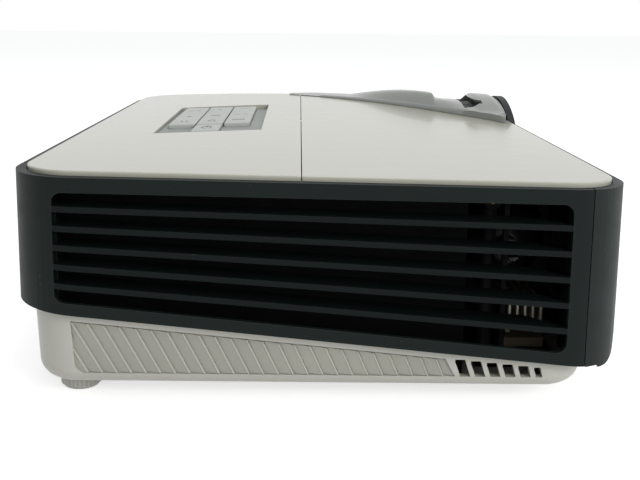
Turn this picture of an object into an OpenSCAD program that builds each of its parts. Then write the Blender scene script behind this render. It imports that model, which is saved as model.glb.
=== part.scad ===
// Compact home projector with a slim disc tray drive, a white case and a dark louvred belt.
// The lens looks along +X, the fanned louvres are on the -Y side, the disc tray opens towards +Y.
// Z = 0 is the table, and X = Y = 0 is the middle of the belt's outline.

/* [Case] */
// Length of the belt from the socket side to the lens side
body_l = 238.6; // [225:0.1:260]
// Width of the belt across the lens side
body_w = 318; // [305:1:340]
// Corner radius of the belt in plan
corner_r = 25; // [18:0.5:30]
// Height of the case's underside over the table
ground_gap = 7; // [6:0.5:10]
// Height of the top cover at mid length of the louvred side
near_top = 90.9; // [88:0.1:94]
// Fall of that edge towards the lens, for each millimetre of length
near_fall = 0.015; // [0:0.001:0.03]
// Height of the crown of the top cover along the tray side
far_top = 94.5; // [92:0.1:96]
// Fall of that edge from its crown, for each square millimetre
far_crown = 0.00026; // [0:0.00001:0.0004]
// Wall of the belt and of the front bezel
belt_wall = 2.4; // [2:0.1:3]
// Wall of the white base
base_wall = 3; // [2.4:0.1:3.6]
// How far the base stands back under the belt
base_inset = 5.5; // [4:0.5:7]
// How far the base stands back under the front bezel
base_front_inset = 11.7; // [10:0.5:16]
// How far the top cover stands back from the belt's outside
cover_inset = 4.4; // [3.6:0.1:6]
// How far the cover stands proud of the belt's rim
cover_proud = 1.8; // [1:0.1:2.4]
// Plate of the top cover
cover_plate = 2.4; // [1.8:0.1:3]
// Height of the cover's turned down lip
cover_lip = 5; // [4:0.5:7]
// Open joint between neighbouring mouldings
seam = 0.4; // [0.2:0.05:0.6]
// Gap between parts that rest on each other
seat = 0.15; // [0.05:0.05:0.3]

/* [Louvres] */
// Height of the belt's lower edge at mid length
low_mid = 28.2; // [25:0.1:31]
// Fall of the belt's lower edge towards the lens, for each millimetre
low_fall = 0.0955; // [0.06:0.001:0.11]
// Slats in the fan
slats = 5; // [3:1:6]
// Thickness of a slat
slat_t = 2.2; // [1.6:0.1:2.8]
// Depth of a slat into the case
slat_depth = 10.5; // [7:0.5:12]
// Belt left above the louvres
rim_upper = 5.8; // [4.5:0.1:7]
// Belt left below the louvres
rim_lower = 4.7; // [4:0.1:6]
// Distance of the louvres from the socket side
louvre_rear = 18.9; // [15:0.1:26]
// Distance of the louvres from the lens side
louvre_front = 24.9; // [22:0.1:30]
// Length of the air opening behind the louvres, at the lamp
lamp_gap = 37; // [30:0.5:44]
// Distance of the joint between belt and front bezel from the lens side
bezel_l = 17.4; // [15:0.1:21]
// Backward lean of the front bezel, for each millimetre of height
bezel_lean = 0.033; // [0:0.001:0.05]

/* [Base hatch] */
// Depth of the sunk panel in the base
hatch_depth = 0.8; // [0.5:0.1:1.2]
// Further depth of its slanting grooves
groove_depth = 0.9; // [0.5:0.1:1.2]
// Distance of the last vent from the lens side
vent_margin = 35.5; // [33:0.5:40]
// Width of a groove and of a vent
groove_w = 2.7; // [2:0.1:3.4]
// Grooves in the sunk panel
grooves = 24; // [16:1:26]
// Vents cut right through after the grooves
vents = 6; // [3:1:6]
// Slant of the first groove from upright
slant_first = 30; // [15:1:35]
// Slant of the last vent from upright
slant_last = 20; // [10:1:30]

/* [Lens] */
// Distance of the lens axis from the tray side
lens_from_side = 77; // [72:1:82]
// Height of the lens axis
lens_z = 60; // [57:0.5:62]
// Radius of the lens barrel
barrel_r = 29; // [26:0.5:30]
// Radius of the focus and zoom rings
ring_r = 37; // [36:0.1:38]
// Width of each ring
ring_w = 4.4; // [4:0.1:5]
// Radius of the front glass
glass_r = 24; // [20:0.5:25]
// Radius of the opening in the front bezel
hood_r = 33; // [31.5:0.5:34]
// Radius of the raised arch over the lens
arch_r = 66; // [60:1:75]
// Height of the arch's crown
arch_top = 100.4; // [99:0.1:101]
// Running clearance of a ring on the barrel
ring_fit = 0.08; // [0.05:0.01:0.1]

/* [Silver bridge] */
// Height of the bridge's near edge over the cover at its slim tail
bridge_tail = 1; // [0.8:0.1:3]
// Height of that edge at the bridge's nose
bridge_edge = 3.9; // [3:0.1:5]
// Height of the bridge along the tray side
bridge_far = 0.5; // [0.4:0.1:2]
// Height of the rear hump over the cover
hump_high = 9.8; // [8:0.1:12]
// Height of the saddle between hump and arch
saddle_high = 6.6; // [6:0.1:8]
// Height of the front arch
arch_high = 11.6; // [10:0.1:13]
// Half width of the arch
arch_half = 36; // [32:0.5:40]
// Distance of the hump's crest from the near edge
crest_back = 18; // [14:0.5:22]

/* [Keypad] */
// Distance of the keypad from the socket side
pad_rear = 40; // [34:0.5:46]
// Width of the sunk keypad panel
pad_w = 52; // [48:0.5:58]
// Length of the sunk keypad panel
pad_l = 114; // [108:1:124]
// Middle of the keypad panel from mid width
pad_mid = 16; // [8:1:24]
// Skew of its short ends, for each millimetre of width
pad_skew = 0.35; // [0:0.01:0.4]
// Depth of the sunk panel
pad_depth = 1.6; // [1.2:0.1:2]
// Gap round a key
key_gap = 0.5; // [0.35:0.05:0.8]
// Press of a key
key_travel = 0.8; // [0.5:0.1:1]

/* [Disc drive] */
// Width of the disc tray
tray_w = 128; // [126:0.5:131]
// Length of the disc tray
tray_l = 128; // [127:0.5:132]
// Thickness of the disc tray
tray_t = 7; // [6:0.5:9]
// Diameter of the disc recess
disc_d = 121; // [120.5:0.1:122]
// Depth of the disc recess
disc_recess = 2; // [1.5:0.1:2.6]
// Height of the tray's underside
tray_z = 63; // [60:0.5:66]
// Middle of the tray from the socket side
tray_from_rear = 92; // [88:0.5:98]
// Sheet of the drive's metal case
sheet = 1; // [0.8:0.1:1.2]
// Running gap round the tray and its runners
slide_gap = 0.4; // [0.3:0.05:0.5]
// Travel of the tray
tray_travel = 118; // [100:1:118]
// Height of the tray's front panel
tray_front_h = 16; // [14:0.5:18]

/* [Feet] */
// Radius of a rear foot
foot_r = 8.3; // [7:0.1:10]
// Flutes round a rear foot
flutes = 28; // [16:1:32]
// Distance of a rear foot from the socket side
foot_from_rear = 22.7; // [20:0.1:30]
// Distance of a rear foot from the side of the belt
foot_from_side = 25; // [22:0.5:30]
// Radius of a rear foot's screw
screw_r = 3; // [2.5:0.1:3.5]
// Radius of the front leg
leg_r = 7; // [6:0.5:8]
// Distance of the front leg from the lens side
leg_from_front = 33; // [30:0.5:40]

/* [Ceiling mount] */
// Spacing of the ceiling mount holes along the length
mount_x = 120; // [100:1:130]
// Spacing of the ceiling mount holes across the width
mount_y = 160; // [120:1:180]
// Core radius of a ceiling mount insert
mount_r = 1.65; // [1.2:0.05:2]

/* [Hidden] */
$fn = 64;
far = 400;
x_rear = -body_l / 2;
x_front = body_l / 2;
y_near = -body_w / 2;
y_far = body_w / 2;
x_seam = x_front - bezel_l;
base_front = x_front - base_front_inset;
floor_z = ground_gap + base_wall;
cover_split = x_rear + 112.2;
cover_x1 = x_front - cover_inset;
lens_y = y_far - lens_from_side;
slot_x0 = x_rear + louvre_rear;
slot_x1 = x_front - louvre_front;
blank_x1 = slot_x1 - lamp_gap;
duct_y = y_near + belt_wall + slat_depth;
tray_x = x_rear + tray_from_rear;
tray_top = tray_z + tray_t;
tray_front_t = 4;
tray_y1 = y_far - tray_front_t;
tray_y0 = tray_y1 - tray_l;
spindle_y = tray_y1 - tray_l / 2 - 1;
pad_x0 = x_rear + pad_rear;
pad_x1 = pad_x0 + pad_w;
foot_x = x_rear + foot_from_rear;
foot_y = body_w / 2 - foot_from_side;
leg_x = x_front - leg_from_front;
ring_x = x_front - 17.5;
rings_x0 = ring_x - 2 * ring_w;
hatch_x0 = x_rear + 23.6;
groove_x0 = hatch_x0 + 1.2;
groove_pitch = (x_front - vent_margin - groove_x0) / (grooves + vents - 1);
hatch_x1 = hatch_x0 + grooves * groove_pitch + 1.5;
hatch_low = ground_gap + 5.2;
hatch_step = 4.1;
screw_x = [x_rear + 40, base_front - 74];
screw_spots = [for (x = screw_x, y = [y_near + 24, y_far - 24]) [x, y]];
boss_r = 4;
mount_spots = [for (x = [-mount_x / 2, mount_x / 2], y = [-mount_y / 2, mount_y / 2]) [x, y]];
insert_r = mount_r + 1.4;
foot_top = floor_z + 22;
leg_top = floor_z + 26;
door_x0 = x_front - 57;
door_x1 = base_front - 14;
door_y0 = y_near + 18;
door_y1 = door_y0 + 54;
intake_x0 = tray_x + tray_w / 2 + 18;
tray_front_z0 = tray_z - 4.5;
panel_y0 = y_near + 56;
panel_y1 = panel_y0 + 126;
panel_z0 = low_z(x_rear) + 8;
panel_z1 = near_top - 14;
remote_y = 0;
remote_z = near_top - 28;
button_w = 18;
button_z = low_mid + 4;
bridge_x0 = x_rear + 104.5;
bridge_x1 = x_front - 10;
bridge_y1 = y_far - cover_inset - 1.5;
hump_x0 = bridge_x0 + 36;
hump_x1 = rings_x0 - 17;
key_floor = top_z(pad_x0, pad_mid) - pad_depth;
key_top = key_floor + pad_depth + 0.3;
key_board_z = key_floor - 2.2 - key_travel - 0.2 - 1.6;
key_space = 0.7;
key_w = (pad_w - 10.4 - 2 * key_space) / 3;
key_x = [for (k = [0:2]) pad_x0 + 3 + key_w / 2 + k * (key_w + key_space)];
long_y0 = -pad_l / 2 + 28;
long_y1 = pad_l / 2 - 3;
power_y0 = -pad_l / 2 + 2;
power_y1 = long_y0 - 1;
board_z = panel_z0 + 3;
board_top = board_z + 1.6;
inlet_y = panel_y0 + 16;
inlet_z = (panel_z0 + panel_z1) / 2;
video_y = panel_y0 + 50;
// Sockets along the board's edge: middle, width and height.
video_spots = [[video_y, 31, 12.4], [video_y + 26, 15, 6], [video_y + 44, 12, 11]];
sound_spots = [video_y + 56.5, video_y + 66];
board_x0 = x_rear + 5.5;
drive_x1 = tray_x + tray_w / 2 + 5;
board_x1 = drive_x1 - 4;
board_y0 = panel_y0 + 40;
drive_y0 = tray_y0 - 5;
board_y1 = drive_y0 - 3;
board_posts = [for (x = [board_x0 + 8, board_x1 - 6], y = [board_y0 + 6, board_y1 - 6]) [x, y]];
psu_x0 = x_rear + 20;
psu_x1 = psu_x0 + 90;
psu_y0 = y_near + 34;
psu_y1 = psu_y0 + 56;
psu_z = floor_z + 12;
fan_size = 60;
fan_t = 15;
fan_x1 = blank_x1 - 3;
fan_x0 = fan_x1 - fan_t;
fan_y = duct_y + 2.6 + fan_size / 2;
fan_z = floor_z + 0.1 + fan_size / 2;
fan_hub = 14;
fan_tip = 27;
lamp_x = (door_x0 + door_x1) / 2;
lamp_z = floor_z + 46;
lamp_y0 = door_y0 + 3;
lamp_y1 = door_y1;
lamp_r = 22;
wheel_r = 21;
wheel_x = lamp_x - 13;
wheel_y = lamp_y1 + 6;
engine_y0 = wheel_y + 9;
engine_x0 = drive_x1 + 2.5;
barrel_x0 = engine_x0 + 27;
speaker_y1 = y_far - base_inset - base_wall - 0.1;
speaker_gap = 4.3;
speaker_w = (screw_x[1] - screw_x[0] - 2 * boss_r - 3 * speaker_gap) / 2;
speaker_step = speaker_w + speaker_gap;
speaker_x = [for (k = [0.5, 1.5]) screw_x[0] + boss_r + speaker_gap / 2 + k * speaker_step];
speaker_h = 34;
drive_x0 = tray_x - tray_w / 2 - 5;
drive_y1 = tray_y1 - 0.3;
drive_z0 = tray_z - 8;
drive_z1 = tray_top + 2.4;
rail_w = 4.2;
stop_y = drive_y1 - 6;
rod_offset = 24;
rod_height = tray_z - 3.6;
sled_y1 = spindle_y - 14;
sled_y0 = sled_y1 - 16;
sled_travel = 33;
rod_y0 = sled_y0 - sled_travel - 3.9;
eject_x = (drive_x1 + intake_x0) / 2;
eject_z = tray_front_z0 + tray_front_h / 2;

// Height of the sloping top surface over a point of the plan.
function near_z(x) = near_top - near_fall * x;
function far_z(x) = far_top - far_crown * pow(x + 20, 2);
function top_z(x, y) = near_z(x) + (far_z(x) - near_z(x)) * (y - y_near) / body_w;
// Height of the belt's slanting lower edge.
function low_z(x) = low_mid - low_fall * x;
function mix(a, b, t) = a + (b - a) * t;
function ease(t) = let (u = max(0, min(1, t))) u * u * (3 - 2 * u);
function arc(cx, cy, r, a0, a1, n) =
    [for (k = [0:n]) let (a = a0 + (a1 - a0) * k / n) [cx + r * cos(a), cy + r * sin(a)]];
// The inner points of a straight side in n steps.
function side(a, b, n) = [for (k = [1:n - 1]) a + (b - a) * k / n];
// Rounded rectangle as points, anticlockwise from the lower left corner, with n steps
// to a corner and m steps to a side.
function round_points(x0, x1, y0, y1, r, n, m) = concat(
    arc(x0 + r, y0 + r, r, 180, 270, n), side([x0 + r, y0], [x1 - r, y0], m),
    arc(x1 - r, y0 + r, r, 270, 360, n), side([x1, y0 + r], [x1, y1 - r], m),
    arc(x1 - r, y1 - r, r, 0, 90, n), side([x1 - r, y1], [x0 + r, y1], m),
    arc(x0 + r, y1 - r, r, 90, 180, n), side([x0, y1 - r], [x0, y0 + r], m));

module block(x0, x1, y0, y1, z0, z1) {
    translate([x0, y0, z0])
        cube([x1 - x0, y1 - y0, z1 - z0]);
}

module rod_x(r, x0, x1, y, z) {
    translate([x0, y, z])
        rotate([0, 90, 0])
            cylinder(r = r, h = x1 - x0);
}

module rod_y(r, y0, y1, x, z) {
    translate([x, y0, z])
        rotate([-90, 0, 0])
            cylinder(r = r, h = y1 - y0);
}

module rod_z(r, z0, z1, x, y) {
    translate([x, y, z0])
        cylinder(r = r, h = z1 - z0);
}

// Rounded rectangle with true arcs.
module round_rect(x0, x1, y0, y1, r) {
    translate([x0 + r, y0])
        square([x1 - x0 - 2 * r, y1 - y0]);
    translate([x0, y0 + r])
        square([x1 - x0, y1 - y0 - 2 * r]);
    for (x = [x0 + r, x1 - r], y = [y0 + r, y1 - r])
        translate([x, y])
            circle(r = r);
}

// The belt's outline in plan, drawn in by a distance.
module plan(inset) {
    round_rect(x_rear + inset, x_front - inset, y_near + inset, y_far - inset, corner_r - inset);
}

module plan_column(inset, z0, z1) {
    translate([0, 0, z0])
        linear_extrude(z1 - z0)
            plan(inset);
}

// A profile drawn in X and Z, carried along Y.
module along_y(y0, y1) {
    translate([0, y1, 0])
        rotate([90, 0, 0])
            linear_extrude(y1 - y0)
                children();
}

// A profile drawn in Y and Z, carried along X.
module along_x(x0, x1) {
    translate([x0, 0, 0])
        rotate([90, 0, 90])
            linear_extrude(x1 - x0)
                children();
}

// Closed solid between an upper and a lower grid of (nu + 1) by (nv + 1) points.
module grid_solid(upper, lower, nu, nv) {
    m = (nu + 1) * (nv + 1);
    function at(i, j) = i * (nv + 1) + j;
    cells = [for (i = [0:nu - 1], j = [0:nv - 1]) [at(i, j), at(i, j + 1), at(i + 1, j + 1), at(i + 1, j)]];
    edge_x = [for (j = [0:nv - 1]) each [
        [at(0, j + 1), at(0, j), at(0, j) + m, at(0, j + 1) + m],
        [at(nu, j), at(nu, j + 1), at(nu, j + 1) + m, at(nu, j) + m]]];
    edge_y = [for (i = [0:nu - 1]) each [
        [at(i, 0), at(i + 1, 0), at(i + 1, 0) + m, at(i, 0) + m],
        [at(i + 1, nv), at(i, nv), at(i, nv) + m, at(i + 1, nv) + m]]];
    under = [for (c = cells) [c[0] + m, c[3] + m, c[2] + m, c[1] + m]];
    quads = concat(cells, under, edge_x, edge_y);
    polyhedron(
        points = concat(upper, lower),
        faces = [for (q = quads) each [[q[0], q[1], q[2]], [q[0], q[2], q[3]]]]);
}

// Everything below the sloping top surface, shifted up by dz.
module below_top(dz) {
    nu = 12;
    nv = 4;
    hl = body_l / 2 + 10;
    hw = body_w / 2 + 10;
    spots = [for (i = [0:nu], j = [0:nv]) [mix(-hl, hl, i / nu), mix(-hw, hw, j / nv)]];
    grid_solid(
        [for (p = spots) [p[0], p[1], top_z(p[0], p[1]) + dz]],
        [for (p = spots) [p[0], p[1], -20]], nu, nv);
}

// Everything above the belt's slanting lower edge, shifted up by dz.
module above_low(dz) {
    along_y(y_near - 10, y_far + 10)
        polygon([
            [x_rear - 10, low_z(x_rear - 10) + dz], [x_front + 10, low_z(x_front + 10) + dz],
            [x_front + 10, far], [x_rear - 10, far]]);
}

// ---- Louvres ----

function louvre_top(x) = top_z(x, y_near) - cover_proud - rim_upper;
function louvre_bottom(x) = low_z(x) + rim_lower;
function slot_h(x) = (louvre_top(x) - louvre_bottom(x) - slats * slat_t) / (slats + 1);
function slat_low(x, k) = louvre_bottom(x) + k * slot_h(x) + (k - 1) * slat_t;

// The window that the slats fill, with its outer corners rounded.
module louvre_window(x0, x1, grow) {
    r = 4;
    polygon(concat(
        arc(x0 + r, louvre_bottom(x0 + r) + r - grow, r + grow, 180, 265, 6),
        arc(x1 - r, louvre_bottom(x1 - r) + r, r + grow, 265, 360, 6),
        arc(x1 - r, louvre_top(x1 - r) - r, r + grow, 0, 90, 6),
        arc(x0 + r, louvre_top(x0 + r) - r, r + grow, 90, 180, 6)));
}

// One slat: a blade between two lines that fan out towards the lens.
module slat_profile(x0, x1, k) {
    polygon([
        [x0, slat_low(x0, k)], [x1, slat_low(x1, k)],
        [x1, slat_low(x1, k) + slat_t], [x0, slat_low(x0, k) + slat_t]]);
}

// ---- White case ----

module base_body(shrink) {
    edge_r = 7 - shrink;
    nose_r = 0.9 * (low_z(base_front) - ground_gap) - shrink;
    x0 = x_rear + base_inset + shrink;
    x1 = base_front - shrink;
    y0 = y_near + base_inset + shrink;
    z0 = ground_gap + shrink;
    intersection() {
        translate([0, 0, z0])
            linear_extrude(60)
                round_rect(x0, x1, y0, -y0, corner_r - base_inset - shrink);
        along_y(y0 - 1, -y0 + 1)
            polygon(concat(
                arc(x0 + edge_r, z0 + edge_r, edge_r, 180, 270, 6),
                arc(x1 - nose_r, z0 + nose_r, nose_r, 270, 360, 8),
                [[x1, low_z(x1) - seat + 60 * sign(shrink)], [x0, low_z(x0) - seat + 60 * sign(shrink)]]));
        along_x(x0 - 1, x1 + 1)
            polygon(concat(
                arc(y0 + edge_r, z0 + edge_r, edge_r, 180, 270, 6),
                arc(-y0 - edge_r, z0 + edge_r, edge_r, 270, 360, 6),
                [[-y0, far], [y0, far]]));
    }
}

// One slanting groove or vent, numbered from the socket side.
module groove(k) {
    t = k / (grooves + vents);
    lean = mix(slant_first, slant_last, t);
    x0 = groove_x0 + k * groove_pitch;
    z1 = low_z(x0) - hatch_step - 0.7;
    run = (z1 - hatch_low - 0.5) * tan(lean);
    polygon([[x0, z1], [x0 + groove_w, z1], [x0 + groove_w + run, hatch_low + 0.5], [x0 + run,
        hatch_low + 0.5]]);
}

module hatch_outline() {
    r = 4;
    polygon(concat(
        arc(hatch_x0 + r + 1, hatch_low + r, r, 180, 270, 5),
        [[hatch_x1, hatch_low], [hatch_x1 - 4, low_z(hatch_x1) - hatch_step],
            [hatch_x0, low_z(hatch_x0) - hatch_step]]));
}

module base_tray() color("ivory") {
    y0 = y_near + base_inset;
    difference() {
        union() {
            difference() {
                base_body(0);
                base_body(base_wall);
            }
            for (s = [-1, 1])
                rod_z(screw_r + 4, floor_z - 1, foot_top, foot_x, s * foot_y);
            rod_z(leg_r + 2.5, floor_z - 1, leg_top, leg_x, 0);
            for (p = screw_spots)
                rod_z(boss_r, floor_z - 1, floor_z + 10, p[0], p[1]);
            for (p = mount_spots)
                rod_z(5, floor_z - 1, floor_z + 9, p[0], p[1]);
            for (p = board_posts)
                rod_z(3.5, floor_z - 1, board_z - 0.05, p[0], p[1]);
        }
        for (s = [-1, 1])
            rod_z(screw_r + 0.1, 0, foot_top - 2, foot_x, s * foot_y);
        rod_z(leg_r + 0.3, 0, leg_top - 2, leg_x, 0);
        for (p = screw_spots) {
            rod_z(1.6, 0, floor_z + 8, p[0], p[1]);
            rod_z(3.2, 0, ground_gap + 2, p[0], p[1]);
        }
        for (p = mount_spots)
            rod_z(insert_r, 0, floor_z + 8, p[0], p[1]);
        along_y(y0 - 1, y0 + hatch_depth)
            hatch_outline();
        along_y(y0 - 1, y0 + hatch_depth + groove_depth)
            intersection() {
                for (k = [0:grooves - 1])
                    groove(k);
                translate([hatch_x0 + 0.8, 0])
                    square([hatch_x1 - hatch_x0, 60]);
            }
        along_y(y0 - 1, y0 + base_wall + 1)
            intersection() {
                for (k = [grooves:grooves + vents - 1])
                    groove(k);
                polygon([
                    [hatch_x1 - 12, 0], [hatch_x1 + vents * groove_pitch - 9, 0],
                    [hatch_x1 + vents * groove_pitch + 3, 40], [hatch_x1 - 12, 40]]);
            }
        for (x = speaker_x, k = [-5:5])
            block(x + 2.6 * k - 0.8, x + 2.6 * k + 0.8, speaker_y1 - 1, y_far, floor_z + 6, floor_z + 12);
        block(door_x0, door_x1, door_y0, door_y1, 0, floor_z + 1);
    }
}

module lamp_door() color("ivory") {
    g = seam / 2;
    difference() {
        block(door_x0 + g, door_x1 - g, door_y0 + g, door_y1 - g, ground_gap, floor_z - 0.4);
        for (k = [0:4])
            block(door_x0 + 8, door_x1 - 8, door_y0 + 8 + 8 * k, door_y0 + 11 + 8 * k, ground_gap - 1,
                ground_gap + 0.8);
        rod_z(1.7, 0, far, (door_x0 + door_x1) / 2, door_y1 - 5);
    }
}

module mount_inserts() color("gold") {
    for (p = mount_spots)
        difference() {
            rod_z(insert_r, ground_gap, floor_z + 7, p[0], p[1]);
            rod_z(mount_r, ground_gap - 1, floor_z + 6, p[0], p[1]);
        }
}

module case_screws() color("silver") {
    for (p = screw_spots) {
        rod_z(1.55, ground_gap + 1.9, floor_z + 7, p[0], p[1]);
        rod_z(2.9, ground_gap + 0.4, ground_gap + 1.95, p[0], p[1]);
    }
}

// ---- Dark belt ----

module rim_shell(x0, x1) {
    difference() {
        intersection() {
            plan_column(0, 0, far);
            below_top(-cover_proud);
            above_low(0);
            block(x0, x1, y_near - 1, y_far + 1, 0, far);
        }
        difference() {
            plan_column(belt_wall, -1, far);
            difference() {
                plan_column(0, -2, far);
                plan_column(base_inset + base_wall, -3, far + 1);
                below_top(-cover_proud - cover_lip - 1.8);
            }
            difference() {
                plan_column(0, -2, far);
                plan_column(base_inset + base_wall, -3, far + 1);
                above_low(belt_wall);
            }
        }
        intersection() {
            plan_column(cover_inset - seam, 0, far);
            difference() {
                block(x_rear, x_front, y_near, y_far, 0, far);
                below_top(-cover_lip - seat);
            }
        }
    }
}

module side_belt() color("darkslategray") {
    difference() {
        rim_shell(x_rear - 1, x_seam - seam / 2);
        along_y(y_near - 1, y_near + 20)
            louvre_window(slot_x0, slot_x1, 0);
        along_y(y_far - 20, y_far + 1)
            louvre_window(intake_x0, slot_x1, 0);
        block(tray_x - tray_w / 2 - 3, tray_x + tray_w / 2 + 3, y_far - 20, y_far + 1,
            tray_front_z0 - seam, tray_front_z0 + tray_front_h + seam);
        block(x_rear - 1, x_rear + 20, panel_y0, panel_y1, panel_z0, panel_z1);
        block(eject_x - 2.3, eject_x + 2.3, y_far - 20, y_far + 1, eject_z - 4.3, eject_z + 4.3);
    }
}

// The fanned louvre: blades that end flush with the belt, joined by a post behind its wall.
module fan_grille(x0, x1, taper) {
    y0 = y_near;
    y1 = y0 + belt_wall + slat_depth - 0.4;
    intersection() {
        plan_column(0, 0, far);
        for (k = [1:slats])
            along_y(y0, y1)
                slat_profile(x0 + 0.05, x1 - 0.05, k);
        linear_extrude(far)
            polygon([
                [x0 - 5, y0 - 1], [x1 + 5, y0 - 1], [x1 + 5, y0 + belt_wall],
                [x1, y0 + belt_wall], [x1 - taper, y1], [x0 - 5, y1]]);
    }
    along_y(y0 + belt_wall + 2.3, y1)
        polygon([
            [x0 - 3, louvre_bottom(x0)], [x0 + 0.8, louvre_bottom(x0)],
            [x0 + 0.8, slat_low(x0, slats) + slat_t], [x0 - 3, slat_low(x0, slats) + slat_t]]);
}

module side_grille() color("darkslategray") {
    fan_grille(slot_x0, slot_x1, 14);
}

module intake_grille() color("darkslategray") {
    mirror([0, 1, 0])
        fan_grille(intake_x0, slot_x1, 6);
}

// Outline of the front bezel from the side, drawn in by a distance.
module bezel_profile(d) {
    x0 = x_seam + seam / 2;
    z0 = low_z(x_seam) - 1.2;
    r = 6;
    polygon(concat(
        [[x0 - 10 * d, z0 + d]],
        arc(x_front - 9, z0 + r, r - d, 270, 355, 6),
        [[x_front - (near_top - z0 - r) * bezel_lean - d, z0 + r + 4], [x_front - d, near_top],
            [x_front - d, far], [x0 - 10 * d, far]]));
}

module front_bezel() color("darkslategray") {
    arch_z = arch_top - arch_r;
    difference() {
        intersection() {
            plan_column(0, 0, far);
            along_y(y_near - 1, y_far + 1)
                bezel_profile(0);
            union() {
                below_top(-cover_proud);
                rod_x(arch_r, cover_x1 + seam, x_front + 1, lens_y, arch_z);
            }
        }
        difference() {
            intersection() {
                plan_column(belt_wall, 0, far);
                along_y(y_near - 1, y_far + 1)
                    bezel_profile(belt_wall);
            }
            difference() {
                plan_column(0, -2, far);
                plan_column(base_inset + base_wall, -3, far + 1);
                below_top(-cover_proud - cover_lip - 1.8);
            }
            rod_x(hood_r + 2, x_front - 12, x_front + 1, lens_y, lens_z);
        }
        intersection() {
            plan_column(cover_inset - seam, 0, far);
            difference() {
                block(x_rear, x_front, y_near, y_far, 0, far);
                below_top(-cover_lip - seat);
                rod_x(hood_r + 2, x_front - 12, x_front + 1, lens_y, lens_z);
            }
        }
        rod_x(hood_r, 0, x_front + 1, lens_y, lens_z);
        block(0, base_front + seam, y_near - 1, y_far + 1, 0, low_z(base_front) + 0.4);
        rod_x(4.2, 0, x_front + 1, remote_y, remote_z);
        block(0, x_front + 1, -button_w / 2 - 0.4, button_w / 2 + 0.4, button_z - 3.4, button_z + 3.4);
    }
}

// ---- Top covers ----

module cover_shell() {
    n = 12;
    m_side = 8;
    x0 = x_rear + cover_inset;
    y0 = y_near + cover_inset;
    r = corner_r - cover_inset;
    edge = [[0, -cover_lip], [0, -1.3], [0.12, -0.7], [0.5, -0.2], [1.2, 0]];
    function ring(d, dz, s) =
        [for (p = round_points(x0 + d, cover_x1 - d, y0 + d, -y0 - d, r - d, n, m_side))
            [p[0] * s, p[1] * s, top_z(p[0] * s, p[1] * s) + dz]];
    rings = concat(
        [for (s = [0.3, 0.65, 0.85]) ring(2.2, -cover_plate, s)],
        [ring(2.2, -cover_plate, 1), ring(2.2, -cover_lip, 1)],
        [for (e = edge) ring(e[0], e[1], 1)],
        [for (s = [0.85, 0.65, 0.45, 0.25]) ring(1.2, 0, s)]);
    m = len(rings[0]);
    last = len(rings) - 1;
    points = concat([for (q = rings) each q],
        [[0, 0, top_z(0, 0) - cover_plate], [0, 0, top_z(0, 0)]]);
    low = m * (last + 1);
    polyhedron(points = points, faces = concat(
        [for (k = [0:last - 1], i = [0:m - 1]) let (a = k * m, b = a + m, j = (i + 1) % m) each
            [[a + i, b + i, b + j], [a + i, b + j, a + j]]],
        [for (i = [0:m - 1]) let (j = (i + 1) % m) each
            [[low, i, j], [last * m + i, low + 1, last * m + j]]]));
}

module pad_outline(grow) {
    half = pad_l / 2;
    x0 = pad_x0 - grow;
    x1 = pad_x1 + grow;
    polygon([
        [x0, pad_mid - half - grow + (x0 - pad_x0) * pad_skew - pad_w / 2 * pad_skew],
        [x1, pad_mid - half - grow + (x1 - pad_x0) * pad_skew - pad_w / 2 * pad_skew],
        [x1, pad_mid + half + grow + (x1 - pad_x0) * pad_skew - pad_w / 2 * pad_skew],
        [x0, pad_mid + half + grow + (x0 - pad_x0) * pad_skew - pad_w / 2 * pad_skew]]);
}

module top_cover_rear() color("whitesmoke") {
    difference() {
        cover_shell();
        block(cover_split - seam / 2, far, -far, far, 0, far);
        linear_extrude(far)
            pad_outline(0);
    }
}

module top_cover_front() color("whitesmoke") {
    difference() {
        cover_shell();
        block(-far, cover_split + seam / 2, -far, far, 0, far);
        block(rings_x0 - 4, x_front - 12.3, lens_y - 13, lens_y + 13, 0, far);
        block(rings_x0 - 1, ring_x + 1.5, lens_y - 26, lens_y + 26, 0, far);
        rod_x(hood_r + 2.3, x_front - 12.4, x_front, lens_y, lens_z);
    }
}

// ---- Silver bridge over the lens ----

// The bridge's near edge sweeps from the tray side at its tail to mid width at its nose.
function bridge_u(x) = (x - bridge_x0) / (bridge_x1 - bridge_x0);
function bridge_near(x) = let (u = bridge_u(x)) bridge_y1 - 7.5 - 55 * u - 43 * pow(u, 2) - 21 * pow(u, 3);
// Its front edge bows forward to the cover's edge over the lens.
function bridge_front(y) = let (t = max(0, min(1, (y - bridge_near(bridge_x1)) / 28)))
    bridge_x1 + (cover_x1 - bridge_x1 - 0.3) * (1 - pow(1 - t, 1.6));
// Crest line: behind the near edge at the hump, over the lens axis from there on.
function crest_y(x) = max(lens_y, bridge_near(x) + crest_back);
function edge_at(x) = mix(bridge_tail, bridge_edge, ease(bridge_u(x)));
// Crest heights along the length: a hump that ends in a step, a saddle, and the arch.
function hump_at(x) = let (t = max(0, min(1, (x - hump_x0) / (hump_x1 - hump_x0))))
    hump_high * sin(90 * t) * (1 - ease((x - hump_x1) / 6));
function arch_at(x) = arch_high - 1.8 * ease((x - bridge_x1 - 0.5) / 5);
function crest_at(x) = max(edge_at(x), hump_at(x),
    mix(saddle_high * ease((x - hump_x1 + 20) / 20), arch_at(x), ease((x - ring_x + 5) / 4.5)));
// How much of the crest's height is left beside the crest line.
function side_share(x, y) = let (
    c = crest_y(x),
    half = y < c ? min(c - bridge_near(x), arch_half) : min(bridge_y1 - c, 1.2 * arch_half),
    s = min(1, abs(y - c) / half)) pow(1 - s * s, 1.2);
function bridge_h(x, y) = let (
    d = y - bridge_near(min(x, bridge_x1)),
    c = crest_y(x),
    base = mix(edge_at(x) * min(1, 0.55 + d * 0.5), bridge_far, ease((y - c) / (bridge_y1 - c))))
    mix(base, crest_at(x), side_share(x, y));

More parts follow.
